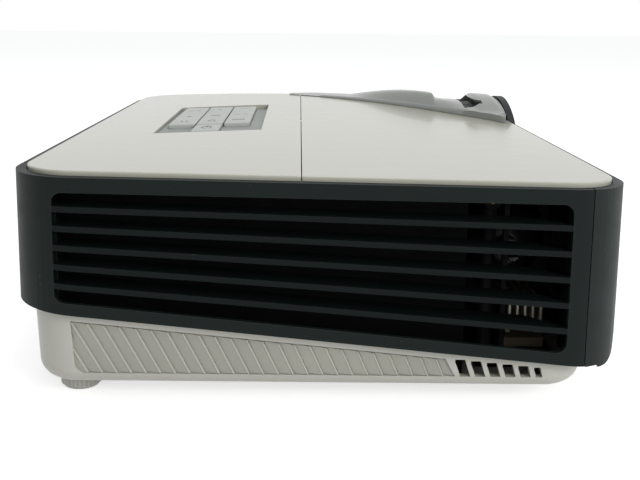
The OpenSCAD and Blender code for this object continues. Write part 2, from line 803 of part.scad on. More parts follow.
module bridge_body() {
    nu = 58;
    nv = 16;
    function spot(i, j) = let (
        u = i / nu, v = j / nv,
        xa = mix(bridge_x0, bridge_x1, u),
        y = mix(bridge_near(xa), bridge_y1, v * v * 0.6 + v * 0.4),
        x = xa + (bridge_front(y) - bridge_x1) * ease((u - 0.8) / 0.2)) [x, y];
    spots = [for (i = [0:nu], j = [0:nv]) spot(i, j)];
    grid_solid(
        [for (p = spots) [p[0], p[1], top_z(p[0], p[1]) + bridge_h(p[0], p[1])]],
        [for (p = spots) [p[0], p[1], top_z(p[0], p[1]) + seat]], nu, nv);
}

module lens_bridge() color("silver") {
    difference() {
        bridge_body();
        block(rings_x0 - 0.8, ring_x + 1, lens_y - 22, lens_y + 22, 0, arch_top - 1);
    }
}

// ---- Keypad ----

// A key's outline: upright sides, with both ends on the keypad's skew.
module key_outline(x, y0, y1, w) {
    s = pad_skew * w / 2;
    polygon([[x - w / 2, y0 - s], [x + w / 2, y0 + s], [x + w / 2, y1 + s], [x - w / 2, y1 - s]]);
}

function skew_y(x, y) = pad_mid + y + (x - (pad_x0 + pad_x1) / 2) * pad_skew;

module long_key(k) {
    x = key_x[k];
    translate([0, 0, key_floor - 2.2])
        linear_extrude(key_top - key_floor + 2.2)
            key_outline(x, skew_y(x, long_y0), skew_y(x, long_y1), key_w);
}

module power_key_body() {
    x = key_x[1];
    translate([0, 0, key_floor - 2.2])
        linear_extrude(key_top - key_floor + 1.9)
            key_outline(x, skew_y(x, power_y0), skew_y(x, power_y1), key_w);
}

module keypad_panel() color("lightgray") {
    g = key_gap * 0.6;
    difference() {
        translate([0, 0, key_floor - 1.6])
            linear_extrude(1.6)
                pad_outline(-seam / 2);
        translate([0, 0, key_floor - 3])
            linear_extrude(6) {
                key_outline(key_x[1], skew_y(key_x[1], long_y0) - g, skew_y(key_x[1], long_y1) + g,
                    3 * key_w + 2 * key_space + 2 * g);
                key_outline(key_x[1], skew_y(key_x[1], power_y0) - g, skew_y(key_x[1], power_y1) + 2,
                    key_w + 2 * g);
            }
    }
    for (p = [[key_x[0], power_y0 + 8], [key_x[2], power_y0 + 8], [pad_x1 - 3.6, long_y1 - 8],
        [pad_x1 - 3.6, 0]])
        rod_z(1.6, key_board_z + 1.65, key_floor - 1, p[0], skew_y(p[0], p[1]));
}

module key_left() color("gainsboro") long_key(0);
module key_middle() color("gainsboro") long_key(1);
module key_right() color("gainsboro") long_key(2);
module power_key() color("gainsboro") power_key_body();

module key_board() color("darkgreen") {
    translate([0, 0, key_board_z])
        linear_extrude(1.6)
            pad_outline(-2.5);
}

// ---- Socket side ----

module rear_panel() color("dimgray") {
    difference() {
        block(x_rear + 0.8, x_rear + 3.2, panel_y0 + 0.2, panel_y1 - 0.2, panel_z0 + 0.2, panel_z1 - 0.2);
        block(x_rear - 1, x_rear + 5, inlet_y - 13.6, inlet_y + 13.6, inlet_z - 10, inlet_z + 10);
        for (s = video_spots)
            block(x_rear - 1, x_rear + 5, s[0] - s[1] / 2 - 0.1, s[0] + s[1] / 2 + 0.1, board_top - 0.1,
                board_top + s[2] + 0.1);
        for (s = sound_spots)
            rod_x(4.1, x_rear - 1, x_rear + 5, s, board_top + 7);
    }
}

module power_inlet() color("black") {
    difference() {
        union() {
            block(x_rear + 0.2, x_rear + 22, inlet_y - 13.5, inlet_y + 13.5, inlet_z - 9.9, inlet_z + 9.9);
            block(x_rear + 3.3, x_rear + 5.2, inlet_y - 15.5, inlet_y + 18, inlet_z - 11.5, inlet_z + 11.5);
        }
        block(x_rear - 1, x_rear + 17, inlet_y - 12, inlet_y + 12, inlet_z - 8, inlet_z + 8);
    }
    for (p = [[0, 3], [-7, -2.5], [7, -2.5]])
        block(x_rear + 2.5, x_rear + 18, inlet_y + p[0] - 1, inlet_y + p[0] + 1, inlet_z + p[1] - 2,
            inlet_z + p[1] + 2);
}

module picture_sockets() color("gray") {
    for (s = video_spots)
        difference() {
            block(x_rear + 0.3, x_rear + 14, s[0] - s[1] / 2, s[0] + s[1] / 2, board_top + 0.05,
                board_top + s[2]);
            block(x_rear - 1, x_rear + 9, s[0] - s[1] / 2 + 1.2, s[0] + s[1] / 2 - 1.2, board_top + 1.2,
                board_top + s[2] - 1.2);
        }
}

module sound_sockets() color("gold") {
    for (y = sound_spots) {
        difference() {
            union() {
                rod_x(4, x_rear + 0.1, x_rear + 9, y, board_top + 7);
                block(x_rear + 8, x_rear + 18, y - 4.4, y + 4.4, board_top + 0.05, board_top + 12);
            }
            rod_x(1.8, x_rear - 1, x_rear + 14, y, board_top + 7);
        }
    }
}

module main_board() color("darkgreen") {
    chip_x = board_x0 + 74;
    difference() {
        union() {
            block(board_x0, board_x1, board_y0, board_y1, board_z, board_top);
            block(chip_x, chip_x + 32, board_y0 + 18, board_y0 + 50, board_top - 0.1, board_top + 3);
            block(chip_x + 6, chip_x + 26, board_y0 + 24, board_y0 + 44, board_top, board_top + 9);
            for (k = [0:3])
                block(chip_x + 42 + 8 * k, chip_x + 46 + 8 * k, board_y0 + 12, board_y0 + 30,
                    board_top - 0.1, board_top + 1.4);
            for (k = [0:4])
                rod_z(3, board_top - 0.1, board_top + 7, chip_x - 48 + 9 * k, board_y0 + 50);
        }
        for (p = board_posts)
            rod_z(1.6, board_z - 1, board_top + 1, p[0], p[1]);
        for (k = [0:4])
            block(chip_x + 7.5 + 4 * k, chip_x + 9.5 + 4 * k, board_y0 + 23, board_y0 + 45,
                board_top + 4, board_top + 10);
    }
}

module power_supply() color("khaki") {
    z = psu_z + 1.5;
    block(psu_x0, psu_x1, psu_y0, psu_y1, psu_z, psu_z + 1.6);
    for (x = [psu_x0 + 5, psu_x1 - 5], y = [psu_y0 + 5, psu_y1 - 5])
        rod_z(3, floor_z + 0.05, psu_z + 1, x, y);
    block(psu_x0 + 26, psu_x0 + 54, psu_y0 + 12, psu_y0 + 36, z, z + 22);
    block(psu_x0 + 30, psu_x0 + 50, psu_y0 + 8, psu_y0 + 40, z, z + 16);
    rod_z(9, z, z + 24, psu_x0 + 14, psu_y0 + 18);
    rod_z(9, z, z + 24, psu_x0 + 14, psu_y0 + 38);
    for (k = [0:2])
        rod_z(4, z, z + 15, psu_x0 + 62 + 9 * k, psu_y0 + 12);
    for (k = [0:5])
        block(psu_x0 + 58 + 4 * k, psu_x0 + 59.5 + 4 * k, psu_y0 + 30, psu_y0 + 46, z, z + 20);
    block(psu_x0 + 58, psu_x0 + 79.5, psu_y0 + 37, psu_y0 + 39, z, z + 20);
}

module lamp_ballast() color("slategray") {
    x0 = psu_x1 + 5;
    x1 = fan_x0 - 6;
    block(x0, x1, psu_y0, psu_y1, floor_z + 0.05, floor_z + 24);
    fin_step = (x1 - x0 - 6) / 5;
    for (k = [0:5])
        block(x0 + 2 + fin_step * k, x0 + 4 + fin_step * k, psu_y0 + 2, psu_y1 - 2, floor_z + 23,
            floor_z + 32);
}

module duct_wall() color("black") {
    block(slot_x0 - 4, blank_x1, duct_y + 0.2, duct_y + 2.2, floor_z + 0.1, louvre_top(0) + 2);
    rib_step = (blank_x1 - slot_x0) / 3.5;
    for (k = [1:3])
        block(slot_x0 + rib_step * k, slot_x0 + rib_step * k + 2, duct_y + 2, duct_y + 6, floor_z + 0.1,
            louvre_top(0));
}

// ---- Air and light ----

module fan_frame() color("black") {
    h = fan_size / 2;
    difference() {
        along_x(fan_x0, fan_x1)
            round_rect(fan_y - h, fan_y + h, fan_z - h, fan_z + h, 5);
        rod_x(fan_tip + 1, fan_x0 + 2.5, fan_x1 + 1, fan_y, fan_z);
        difference() {
            rod_x(fan_tip + 1, fan_x0 - 1, fan_x0 + 3, fan_y, fan_z);
            rod_x(fan_hub - 1, fan_x0 - 2, fan_x0 + 4, fan_y, fan_z);
            for (a = [45, 165, 285])
                translate([fan_x0, fan_y, fan_z])
                    rotate([a, 0, 0])
                        block(-2, 4, 0, fan_tip + 2, -2.2, 2.2);
        }
        for (s = [-1, 1], t = [-1, 1])
            rod_x(2.1, fan_x0 - 1, fan_x1 + 1, fan_y + s * (h - 5), fan_z + t * (h - 5));
        rod_x(2, fan_x0 + 0.5, fan_x0 + 3, fan_y, fan_z);
    }
}

module fan_rotor() color("black") {
    difference() {
        union() {
            rod_x(fan_hub, fan_x0 + 3, fan_x1 - 0.8, fan_y, fan_z);
            for (k = [0:6])
                translate([fan_x0 + 9.3, fan_y, fan_z])
                    rotate([k * 360 / 7, 0, 0])
                        translate([0, 0, fan_hub - 2])
                            rotate([0, 0, 52])
                                block(-8, 8, -0.8, 0.8, 0, fan_tip - fan_hub + 1.4);
        }
        rod_x(fan_hub - 1.6, fan_x0 + 2, fan_x1 - 3, fan_y, fan_z);
    }
    rod_x(1.95, fan_x0 + 0.6, fan_x1 - 2, fan_y, fan_z);
}

module lamp_frame() color("dimgray") {
    x0 = door_x0 + 2;
    x1 = lamp_x + lamp_r + 1.8;
    difference() {
        union() {
            block(x0, x1, lamp_y1 - 12, lamp_y1, floor_z + 0.1, lamp_z + lamp_r + 5);
            block(x0, x1, lamp_y0, lamp_y1, floor_z + 0.1, floor_z + 6.4);
            block(x0, x1, lamp_y0, lamp_y1, lamp_z + lamp_r + 2, lamp_z + lamp_r + 5);
            rod_z(3.2, floor_z + 1, lamp_z + lamp_r + 5, x0 + 3.2, lamp_y0 + 3.2);
            block(x0 + 9, x0 + 11, lamp_y0, lamp_y0 + 3, floor_z + 1, lamp_z + lamp_r + 3);
            block(x1 - 3, x1, lamp_y0, lamp_y0 + 6, floor_z + 1, lamp_z + lamp_r + 3);
            rod_y(3.4, lamp_y0 - 1.5, lamp_y0 + 4, x0 + 4, lamp_z + lamp_r + 1);
        }
        rod_y(lamp_r + 0.1, lamp_y1 - 13, lamp_y1 - 3, lamp_x, lamp_z);
        rod_y(lamp_r - 2, lamp_y1 - 4, lamp_y1 + 1, lamp_x, lamp_z);
        rod_y(1.2, lamp_y0 - 2, lamp_y0 + 2, x0 + 4, lamp_z + lamp_r + 1);
        block(x1 - 6, x1 + 1, lamp_y0 - 1, lamp_y1 + 1, floor_z, floor_z + 8);
    }
}

// The reflector is a turned bowl that opens towards the colour wheel.
module lamp_reflector() color("lightyellow") {
    y1 = lamp_y1 - 3.1;
    n = 10;
    deep = 26;
    translate([lamp_x, y1, lamp_z])
        rotate([90, 0, 0])
            rotate_extrude($fn = 64)
                difference() {
                    polygon(concat([[0, 0], [lamp_r, 0], [lamp_r, 4]],
                        [for (k = [1:n]) [mix(lamp_r, 5, k / n), 4 + deep * (1 - pow(1 - k / n, 2))]],
                        [[5, deep + 12], [0, deep + 12]]));
                    polygon(concat([[-1, -1], [lamp_r - 2, -1], [lamp_r - 2, 2.5]],
                        [for (k = [1:n]) [mix(lamp_r - 2, 2.6, k / n), 2.5 + deep * (1 - pow(1 - k / n,
                            2))]],
                        [[2.6, deep + 13], [-1, deep + 13]]));
                }
}

module lamp_burner() color("white") {
    y1 = lamp_y1 - 3.1;
    rod_y(2.5, y1 - 46, y1 - 10, lamp_x, lamp_z);
    translate([lamp_x, y1 - 18, lamp_z])
        sphere(r = 4.5, $fn = 24);
}

// Finned cooler that the lamp's tail sits over, with its fins side by side.
module lamp_heatsink() color("lightgray") {
    x0 = lamp_x + 0.6;
    z0 = floor_z + 16.5;
    for (k = [0:4])
        block(x0 + 3.2 * k, x0 + 1 + 3.2 * k, lamp_y0 + 8, lamp_y1 - 12.1, z0, z0 + 9);
    block(x0, x0 + 13.8, lamp_y0 + 8, lamp_y1 - 12.1, z0 - 2, z0 + 0.1);
    for (x = [x0, x0 + 11.8])
        block(x, x + 2, lamp_y0 + 12, lamp_y1 - 14, floor_z + 10.5, z0);
}

module lamp_insulator() color("tan") {
    block(lamp_x - 1.4, lamp_x + 15, lamp_y0 + 6, lamp_y1 - 12.1, floor_z + 6.45, floor_z + 10.45);
}

module colour_wheel() color("lightblue") {
    rod_y(wheel_r, wheel_y, wheel_y + 1.1, wheel_x, lamp_z);
    rod_y(6, wheel_y - 1.5, wheel_y + 1.2, wheel_x, lamp_z);
}

module wheel_motor() color("gray") {
    rod_y(8, wheel_y + 1.6, wheel_y + 8, wheel_x, lamp_z);
    rod_y(1.5, wheel_y + 1.25, wheel_y + 9, wheel_x, lamp_z);
    block(wheel_x - 7, wheel_x + 7, wheel_y + 6, wheel_y + 8, floor_z + 0.1, lamp_z + 5);
}

module light_engine() color("dimgray") {
    difference() {
        union() {
            block(lamp_x - 18, lamp_x + 18, engine_y0, lens_y - 38, leg_top + 2, lamp_z + 18);
            block(engine_x0, barrel_x0 - 0.1, lens_y - 42, lens_y + 32, lens_z - 34, lens_z + 26);
            block(engine_x0 + 6, lamp_x, lens_y - 44, lens_y - 36, leg_top + 2, lens_z + 18);
            for (p = [[lamp_x - 14, engine_y0 + 8], [lamp_x + 13, engine_y0 + 8], [engine_x0 + 5,
                lens_y - 30],
                [engine_x0 + 20, lens_y - 30], [engine_x0 + 5, lens_y + 26], [engine_x0 + 20, lens_y + 26]])
                rod_z(4, floor_z + 0.1, leg_top + 3, p[0], p[1]);
            for (k = [0:5])
                block(lamp_x - 14, lamp_x + 14, engine_y0 + 20 + 7 * k, engine_y0 + 22 + 7 * k,
                    lamp_z + 17, lamp_z + 25);
        }
        rod_y(9, engine_y0 - 1, engine_y0 + 30, lamp_x, lamp_z);
        rod_x(24, engine_x0 + 12, barrel_x0 + 1, lens_y, lens_z);
    }
}

module lens_barrel() color("black") {
    x1 = x_front - 3;
    difference() {
        union() {
            rod_x(barrel_r - 2, barrel_x0, x1, lens_y, lens_z);
            rod_x(barrel_r, rings_x0 - 3, x1, lens_y, lens_z);
            rod_x(barrel_r + 1, rings_x0 - 3, rings_x0 - 0.2, lens_y, lens_z);
            rod_x(barrel_r + 1, ring_x, ring_x + 2, lens_y, lens_z);
        }
        rod_x(glass_r + 0.1, x1 - 7, x1 + 1, lens_y, lens_z);
        rod_x(glass_r - 3, barrel_x0 - 1, x1, lens_y, lens_z);
    }
}

module ring(x0, ribs) {
    difference() {
        rod_x(ring_r, x0, x0 + ring_w - 0.2, lens_y, lens_z);
        rod_x(barrel_r + ring_fit, x0 - 1, x0 + ring_w + 1, lens_y, lens_z);
        for (k = [0:ribs - 1])
            translate([x0, lens_y, lens_z])
                rotate([k * 360 / ribs, 0, 0])
                    block(0.9, ring_w - 1.1, -0.9, 0.9, ring_r - 0.7, ring_r + 1);
    }
}

module focus_ring() color("dimgray") ring(ring_x - ring_w, 48);
module zoom_ring() color("dimgray") ring(rings_x0, 36);

// A bulging front glass on a cylindrical rim.
module front_glass() color("lightcyan") {
    n = 10;
    sag = 4;
    r_ball = (glass_r * glass_r + sag * sag) / (2 * sag);
    translate([x_front - 9.9, lens_y, lens_z])
        rotate([0, 90, 0])
            rotate_extrude($fn = 64)
                polygon(concat([[0, 0], [glass_r, 0]],
                    [for (k = [0:n]) let (r = glass_r * (1 - k / n))
                        [r, 2.2 + sqrt(r_ball * r_ball - r * r) - (r_ball - sag)]]));
}

module remote_window() color("darkred") {
    x = x_front - (near_top - remote_z) * bezel_lean;
    rod_x(4.1, x - 4, x + 0.2, remote_y, remote_z);
    rod_x(5.6, x - 5, x - belt_wall - 0.4, remote_y, remote_z);
}

// ---- Sound ----

module speaker(x) {
    z = floor_z + 0.1;
    difference() {
        along_x(x - speaker_w / 2, x + speaker_w / 2)
            polygon([[speaker_y1 - 30, z], [speaker_y1 - 4.5, z], [speaker_y1, z + 4.5],
                [speaker_y1, z + speaker_h], [speaker_y1 - 30, z + speaker_h]]);
        rod_y(14.5, speaker_y1 - 1.4, speaker_y1 + 1, x, z + speaker_h / 2);
        rod_y(7, speaker_y1 - 5, speaker_y1 + 1, x, z + speaker_h / 2);
    }
}

module speaker_rear() color("black") speaker(speaker_x[0]);
module speaker_front() color("black") speaker(speaker_x[1]);

// ---- Disc drive ----

module drive_case() color("lightgray") {
    difference() {
        block(drive_x0, drive_x1, drive_y0, drive_y1, drive_z0, drive_z1);
        block(drive_x0 + sheet, drive_x1 - sheet, drive_y0 + sheet, drive_y1 + 1, drive_z0 + sheet,
            drive_z1 + 1);
    }
    for (x = [drive_x0, drive_x1 - sheet], y = [drive_y0 + 4, drive_y1 - 46])
        block(x, x + sheet, y, y + 14, floor_z + 0.1, drive_z0 + 1);
}

module drive_lid() color("lightgray") {
    difference() {
        block(drive_x0, drive_x1, drive_y0, drive_y1, drive_z1 + 0.05, drive_z1 + 0.05 + sheet);
        for (x = [drive_x0 + 20, drive_x1 - 20])
            rod_z(3, 0, far, x, drive_y0 + 12);
    }
    rod_z(16, drive_z1 + sheet, drive_z1 + 2 * sheet, tray_x, spindle_y);
}

// Each runner has a stop pin, which rides in a groove along the tray's side.
module tray_runners() color("white") {
    for (s = [-1, 1])
        translate([tray_x, 0, 0])
            scale([s, 1, 1]) {
                block(tray_w / 2 - 0.8, tray_w / 2 + slide_gap + 0.5, stop_y - 1, stop_y + 1,
                    tray_z + 2.9, tray_z + 4.3);
                difference() {
                    block(tray_w / 2 - rail_w, drive_x1 - tray_x - sheet - 0.05, drive_y0 + sheet + 0.05,
                        drive_y1 - 0.5,
                        drive_z0 + sheet + 0.05, drive_z1 - 0.4);
                    block(0, tray_w / 2 + slide_gap, drive_y0 + 4, drive_y1 + 1, tray_z - 0.1,
                        drive_z1 + 1);
                }
            }
}

module disc_tray() color("black") {
    difference() {
        translate([0, 0, tray_z])
            linear_extrude(tray_t)
                round_rect(tray_x - tray_w / 2, tray_x + tray_w / 2, tray_y0, tray_y1 - 0.1, 3);
        rod_z(disc_d / 2, tray_top - disc_recess, tray_top + 1, tray_x, spindle_y);
        rod_z(41, tray_top - 2 * disc_recess, tray_top + 1, tray_x, spindle_y);
        rod_z(19, tray_z - 1, tray_top + 1, tray_x, spindle_y);
        block(tray_x - 19, tray_x + 19, tray_y0 - 1, spindle_y, tray_z - 1, tray_top + 1);
        for (s = [-1, 1])
            rod_z(11, tray_z + 2, tray_top + 1, tray_x + s * (disc_d / 2 + 4), spindle_y);
        for (s = [-1, 1])
            translate([tray_x + s * tray_w / 2, 0, 0])
                block(-1.2, 1.2, stop_y - tray_travel - 1.2, stop_y + 1.2, tray_z + 2.6, tray_z + 4.6);
    }
}

module tray_front() color("darkslategray") {
    g = seam;
    difference() {
        block(tray_x - tray_w / 2 - 3 + g, tray_x + tray_w / 2 + 3 - g, tray_y1, y_far,
            tray_front_z0 + g / 2, tray_front_z0 + tray_front_h - g / 2);
        block(tray_x - tray_w / 2 + 8, tray_x + tray_w / 2 - 8, y_far - 0.6, y_far + 1,
            tray_front_z0 + 3, tray_front_z0 + 4.2);
    }
}

module spindle_motor() color("silver") {
    rod_z(13, drive_z0 + sheet + 0.05, tray_z - 0.5, tray_x, spindle_y);
    rod_z(1.5, tray_z - 1, tray_top - 1, tray_x, spindle_y);
}

module spindle_hub() color("dimgray") {
    difference() {
        union() {
            rod_z(14, tray_z - 0.3, tray_top - disc_recess - 0.2, tray_x, spindle_y);
            rod_z(7.3, tray_top - disc_recess - 1, tray_top - 0.4, tray_x, spindle_y);
        }
        rod_z(1.53, tray_z - 2, tray_top - 0.95, tray_x, spindle_y);
    }
}

module pickup_sled() color("gray") {
    difference() {
        union() {
            block(tray_x - rod_offset - 3, tray_x + rod_offset + 3, sled_y0, sled_y1, rod_height - 2.4,
                rod_height + 2.4);
            rod_z(5, rod_height, tray_top - disc_recess - 1.6, tray_x, sled_y1 - 6);
            block(tray_x + rod_offset, tray_x + rod_offset + 11, sled_y0 + 6, sled_y0 + 10,
                rod_height - 2.4, rod_height + 2.4);
        }
        for (s = [-1, 1])
            rod_y(1.55, sled_y0 - 1, sled_y1 + 1, tray_x + s * rod_offset, rod_height);
        rod_y(1.85, sled_y0 - 1, sled_y1 + 1, tray_x + rod_offset + 8, rod_height);
    }
}

module guide_rods() color("silver") {
    for (s = [-1, 1]) {
        rod_y(1.5, rod_y0, spindle_y - 6, tray_x + s * rod_offset, rod_height);
        for (y = [rod_y0 + 0.1, spindle_y - 12])
            block(tray_x + s * rod_offset - 3, tray_x + s * rod_offset + 3, y, y + 2.8,
                drive_z0 + sheet + 0.05, rod_height + 2);
    }
}

module feed_screw() color("goldenrod") {
    rod_y(1.8, rod_y0, spindle_y - 8, tray_x + rod_offset + 8, rod_height);
}

module eject_button() color("darkslategray") {
    block(eject_x - 2, eject_x + 2, y_far - belt_wall - 0.5, y_far, eject_z - 4, eject_z + 4);
    block(eject_x - 3, eject_x + 3, y_far - belt_wall - 1.8, y_far - belt_wall - 0.1, eject_z - 5,
        eject_z + 5);
}

// ---- Feet ----

module front_leg() color("dimgray") {
    rod_z(leg_r, 3.2, leg_top - 2.4, leg_x, 0);
    rod_z(leg_r + 2, 0, 3.3, leg_x, 0);
}

module leg_button() color("darkslategray") {
    x = x_front - (near_top - button_z) * bezel_lean;
    block(x - 5, x + 0.8, -button_w / 2, button_w / 2, button_z - 3, button_z + 3);
    block(x - 6, x - belt_wall - 0.5, -button_w / 2 - 2, button_w / 2 + 2, button_z - 4.5, button_z + 4.5);
}

module foot_screw(s) {
    rod_z(screw_r, ground_gap - 1.4, foot_top - 6, foot_x, s * foot_y);
    rod_z(screw_r - 1, 1.8, ground_gap, foot_x, s * foot_y);
}

module foot_wheel(s) {
    difference() {
        union() {
            rod_z(foot_r, 1.2, ground_gap - 0.2, foot_x, s * foot_y);
            rod_z(foot_r - 1.2, 0, 1.3, foot_x, s * foot_y);
        }
        rod_z(screw_r - 0.95, 1.7, ground_gap, foot_x, s * foot_y);
        rod_z(screw_r + 0.05, ground_gap - 1.45, ground_gap, foot_x, s * foot_y);
        for (k = [0:flutes - 1])
            translate([foot_x, s * foot_y, 0])
                rotate([0, 0, k * 360 / flutes])
                    translate([foot_r + 0.2, 0, -1])
                        cylinder(r = 0.6, h = ground_gap + 1, $fn = 8);
    }
}

module foot_screw_near() color("silver") foot_screw(-1);
module foot_wheel_near() color("ivory") foot_wheel(-1);
module foot_screw_far() color("silver") foot_screw(1);
module foot_wheel_far() color("ivory") foot_wheel(1);

base_tray();
side_belt();
side_grille();
intake_grille();
front_bezel();
top_cover_rear();
top_cover_front();
lens_bridge();
keypad_panel();
key_left();
key_middle();
key_right();
power_key();
key_board();
duct_wall();
rear_panel();
power_inlet();
picture_sockets();
sound_sockets();
lens_barrel();
front_glass();
focus_ring();
zoom_ring();
light_engine();
colour_wheel();
wheel_motor();
lamp_frame();
lamp_reflector();
lamp_burner();
lamp_heatsink();
lamp_insulator();
lamp_door();
lamp_ballast();
power_supply();
main_board();
fan_frame();
fan_rotor();
speaker_rear();
speaker_front();
remote_window();
drive_case();
drive_lid();
tray_runners();
disc_tray();
tray_front();
spindle_motor();
spindle_hub();
pickup_sled();
guide_rods();
feed_screw();
eject_button();
front_leg();
leg_button();
foot_screw_near();
foot_wheel_near();
foot_screw_far();
foot_wheel_far();
case_screws();
mount_inserts();
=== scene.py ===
import math

import bmesh
import bpy
import numpy as np
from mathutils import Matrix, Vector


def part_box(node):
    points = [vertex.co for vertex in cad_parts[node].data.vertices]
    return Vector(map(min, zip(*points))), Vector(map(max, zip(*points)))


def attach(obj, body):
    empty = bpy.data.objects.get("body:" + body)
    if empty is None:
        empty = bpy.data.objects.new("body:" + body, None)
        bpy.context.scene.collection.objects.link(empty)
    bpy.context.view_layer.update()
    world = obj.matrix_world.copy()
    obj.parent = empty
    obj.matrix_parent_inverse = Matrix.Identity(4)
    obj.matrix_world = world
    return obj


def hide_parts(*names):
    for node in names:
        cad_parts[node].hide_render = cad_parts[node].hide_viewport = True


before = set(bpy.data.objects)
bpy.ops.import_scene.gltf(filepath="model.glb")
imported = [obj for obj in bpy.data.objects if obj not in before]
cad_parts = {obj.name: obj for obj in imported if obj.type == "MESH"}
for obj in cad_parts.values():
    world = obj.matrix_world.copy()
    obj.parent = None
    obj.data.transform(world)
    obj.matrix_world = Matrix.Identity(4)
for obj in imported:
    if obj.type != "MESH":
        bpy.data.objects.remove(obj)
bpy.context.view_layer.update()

# ----------------------------------------
# Camera: a third of a metre before the louvred side, opposite its middle and
# five centimetres above the top cover, turned down by nine degrees.

camera = bpy.data.objects.new("camera", bpy.data.cameras.new("camera"))
bpy.context.scene.collection.objects.link(camera)
bpy.context.scene.camera = camera
camera.location = (-0.00845, -0.48891, 0.15178)
camera.rotation_euler = [math.radians(a) for a in (80.7258, -0.5155, 0.1093)]
camera.data.sensor_width = 36.0
camera.data.lens = 51.13
camera.data.shift_x = 0.0347
camera.data.shift_y = -0.1250
camera.data.clip_start = 0.02
camera.data.clip_end = 50.0
bpy.context.scene.view_settings.view_transform = "Standard"

# ----------------------------------------
# Studio: a white floor and an even white room. The camera, the gloss and the
# glass see plain white, and the soft light on the object is dimmer than that.


def node_tree(owner):
    """Empties a node tree and gives the call that adds a node to it. The call takes inputs
    in order or by name, with an underscore for a space. An input that is given a socket or
    a node is joined to that socket or to the node's first output in use."""
    owner.use_nodes = True
    tree = owner.node_tree
    tree.nodes.clear()

    def add(kind, *sources, **values):
        node = tree.nodes.new("ShaderNode" + kind)
        for key, value in [*values.items(), *enumerate(sources)]:
            socket = key if isinstance(key, int) else key.replace("_", " ")
            if isinstance(value, bpy.types.Node):
                value = next(out for out in value.outputs if out.enabled)
            if isinstance(value, bpy.types.NodeSocket):
                tree.links.new(value, node.inputs[socket])
            elif isinstance(key, int) or socket in node.inputs:
                node.inputs[socket].default_value = value
            else:
                setattr(node, key, value)
        return node

    return add


world = bpy.data.worlds.new("room")
bpy.context.scene.world = world
add = node_tree(world)
ray = add("LightPath").outputs
seen = add("Math", ray["Is Camera Ray"], ray["Is Transmission Ray"], operation="MAXIMUM")
seen = add("Math", seen, ray["Is Glossy Ray"], operation="MAXIMUM")
soft_room = add("Background", Color=(0.97, 0.985, 1.0, 1), Strength=0.40)
white_room = add("Background", Color=(1, 1, 1, 1), Strength=1.0)
add("OutputWorld", add("MixShader", seen, soft_room, white_room))

FLOOR_HALF = 6.0
corners = np.array([[-1, -1, 0], [1, -1, 0], [1, 1, 0], [-1, 1, 0]], float) * FLOOR_HALF
floor_mesh = bpy.data.meshes.new("floor")
floor_mesh.from_pydata(corners.tolist(), [], [(0, 1, 2, 3)])
floor = bpy.data.objects.new("floor", floor_mesh)
bpy.context.scene.collection.objects.link(floor)
floor_white = bpy.data.materials.new("floor_white")
add = node_tree(floor_white)
ray = add("LightPath").outputs
seen = add("Math", ray["Is Camera Ray"], ray["Is Glossy Ray"], operation="MAXIMUM")
lit = add("BsdfDiffuse", Color=(0.86, 0.86, 0.86, 1))
whole = add("AddShader", lit, add("Emission", Strength=0.62))
add("OutputMaterial", add("MixShader", seen, lit, whole))
floor.data.materials.append(floor_white)


OBJECT_MIDDLE = (0, 0, 0.05)


def soft_box(name, spot, size, power, mirrored):
    """A rectangular lamp at a spot, turned to face the object, and mirrored in gloss or not."""
    lamp = bpy.data.lights.new(name, "AREA")
    lamp.shape = "RECTANGLE"
    lamp.size, lamp.size_y = size
    lamp.energy = power
    holder = bpy.data.objects.new(name, lamp)
    gaze = np.array(spot) - OBJECT_MIDDLE
    gaze /= np.linalg.norm(gaze)
    holder.location = spot
    holder.rotation_euler = (math.acos(gaze[2]), 0.0, math.atan2(gaze[1], gaze[0]) + math.pi / 2)
    holder.visible_glossy = mirrored
    bpy.context.scene.collection.objects.link(holder)


soft_box("overhead", (0.15, 0.15, 1.5), (0.8, 0.8), 5.2, True)
soft_box("front", (0.7, -1.6, 0.75), (1.4, 0.8), 5.6, False)
soft_box("front_right", (1.1, -1.2, 0.7), (0.8, 0.7), 8.3, False)

# ----------------------------------------
# White base: an open tray injection moulded in satin white plastic, with a
# grooved panel and vents in its side. The lamp door is screwed into its floor.


def new_skin(name):
    """A new material, the call that adds nodes to it, and the Object coordinates for them."""
    skin = bpy.data.materials.new(name)
    add = node_tree(skin)
    return skin, add, add("TexCoord").outputs["Object"]


def tint(colour, share=1.0):
    """A colour times a share, no brighter than white, with its alpha."""
    return tuple(min(1, c * share) for c in colour) + (1,)


def blended(add, factor, first, second):
    """One colour blended into another by a factor."""
    return add("Mix", data_type="RGBA", Factor=factor, A=first, B=second)


def finished(skin, add, tone, gloss, bumps, grain, depth=0.0001, **shell):
    """Ends a material with its colour, its roughness and the bumps that bend its surface."""
    relief = add("Bump", Height=bumps, Strength=grain, Distance=depth)
    add("OutputMaterial", add("BsdfPrincipled", Base_Color=tone, Roughness=gloss, Normal=relief,
                              **shell))
    return skin


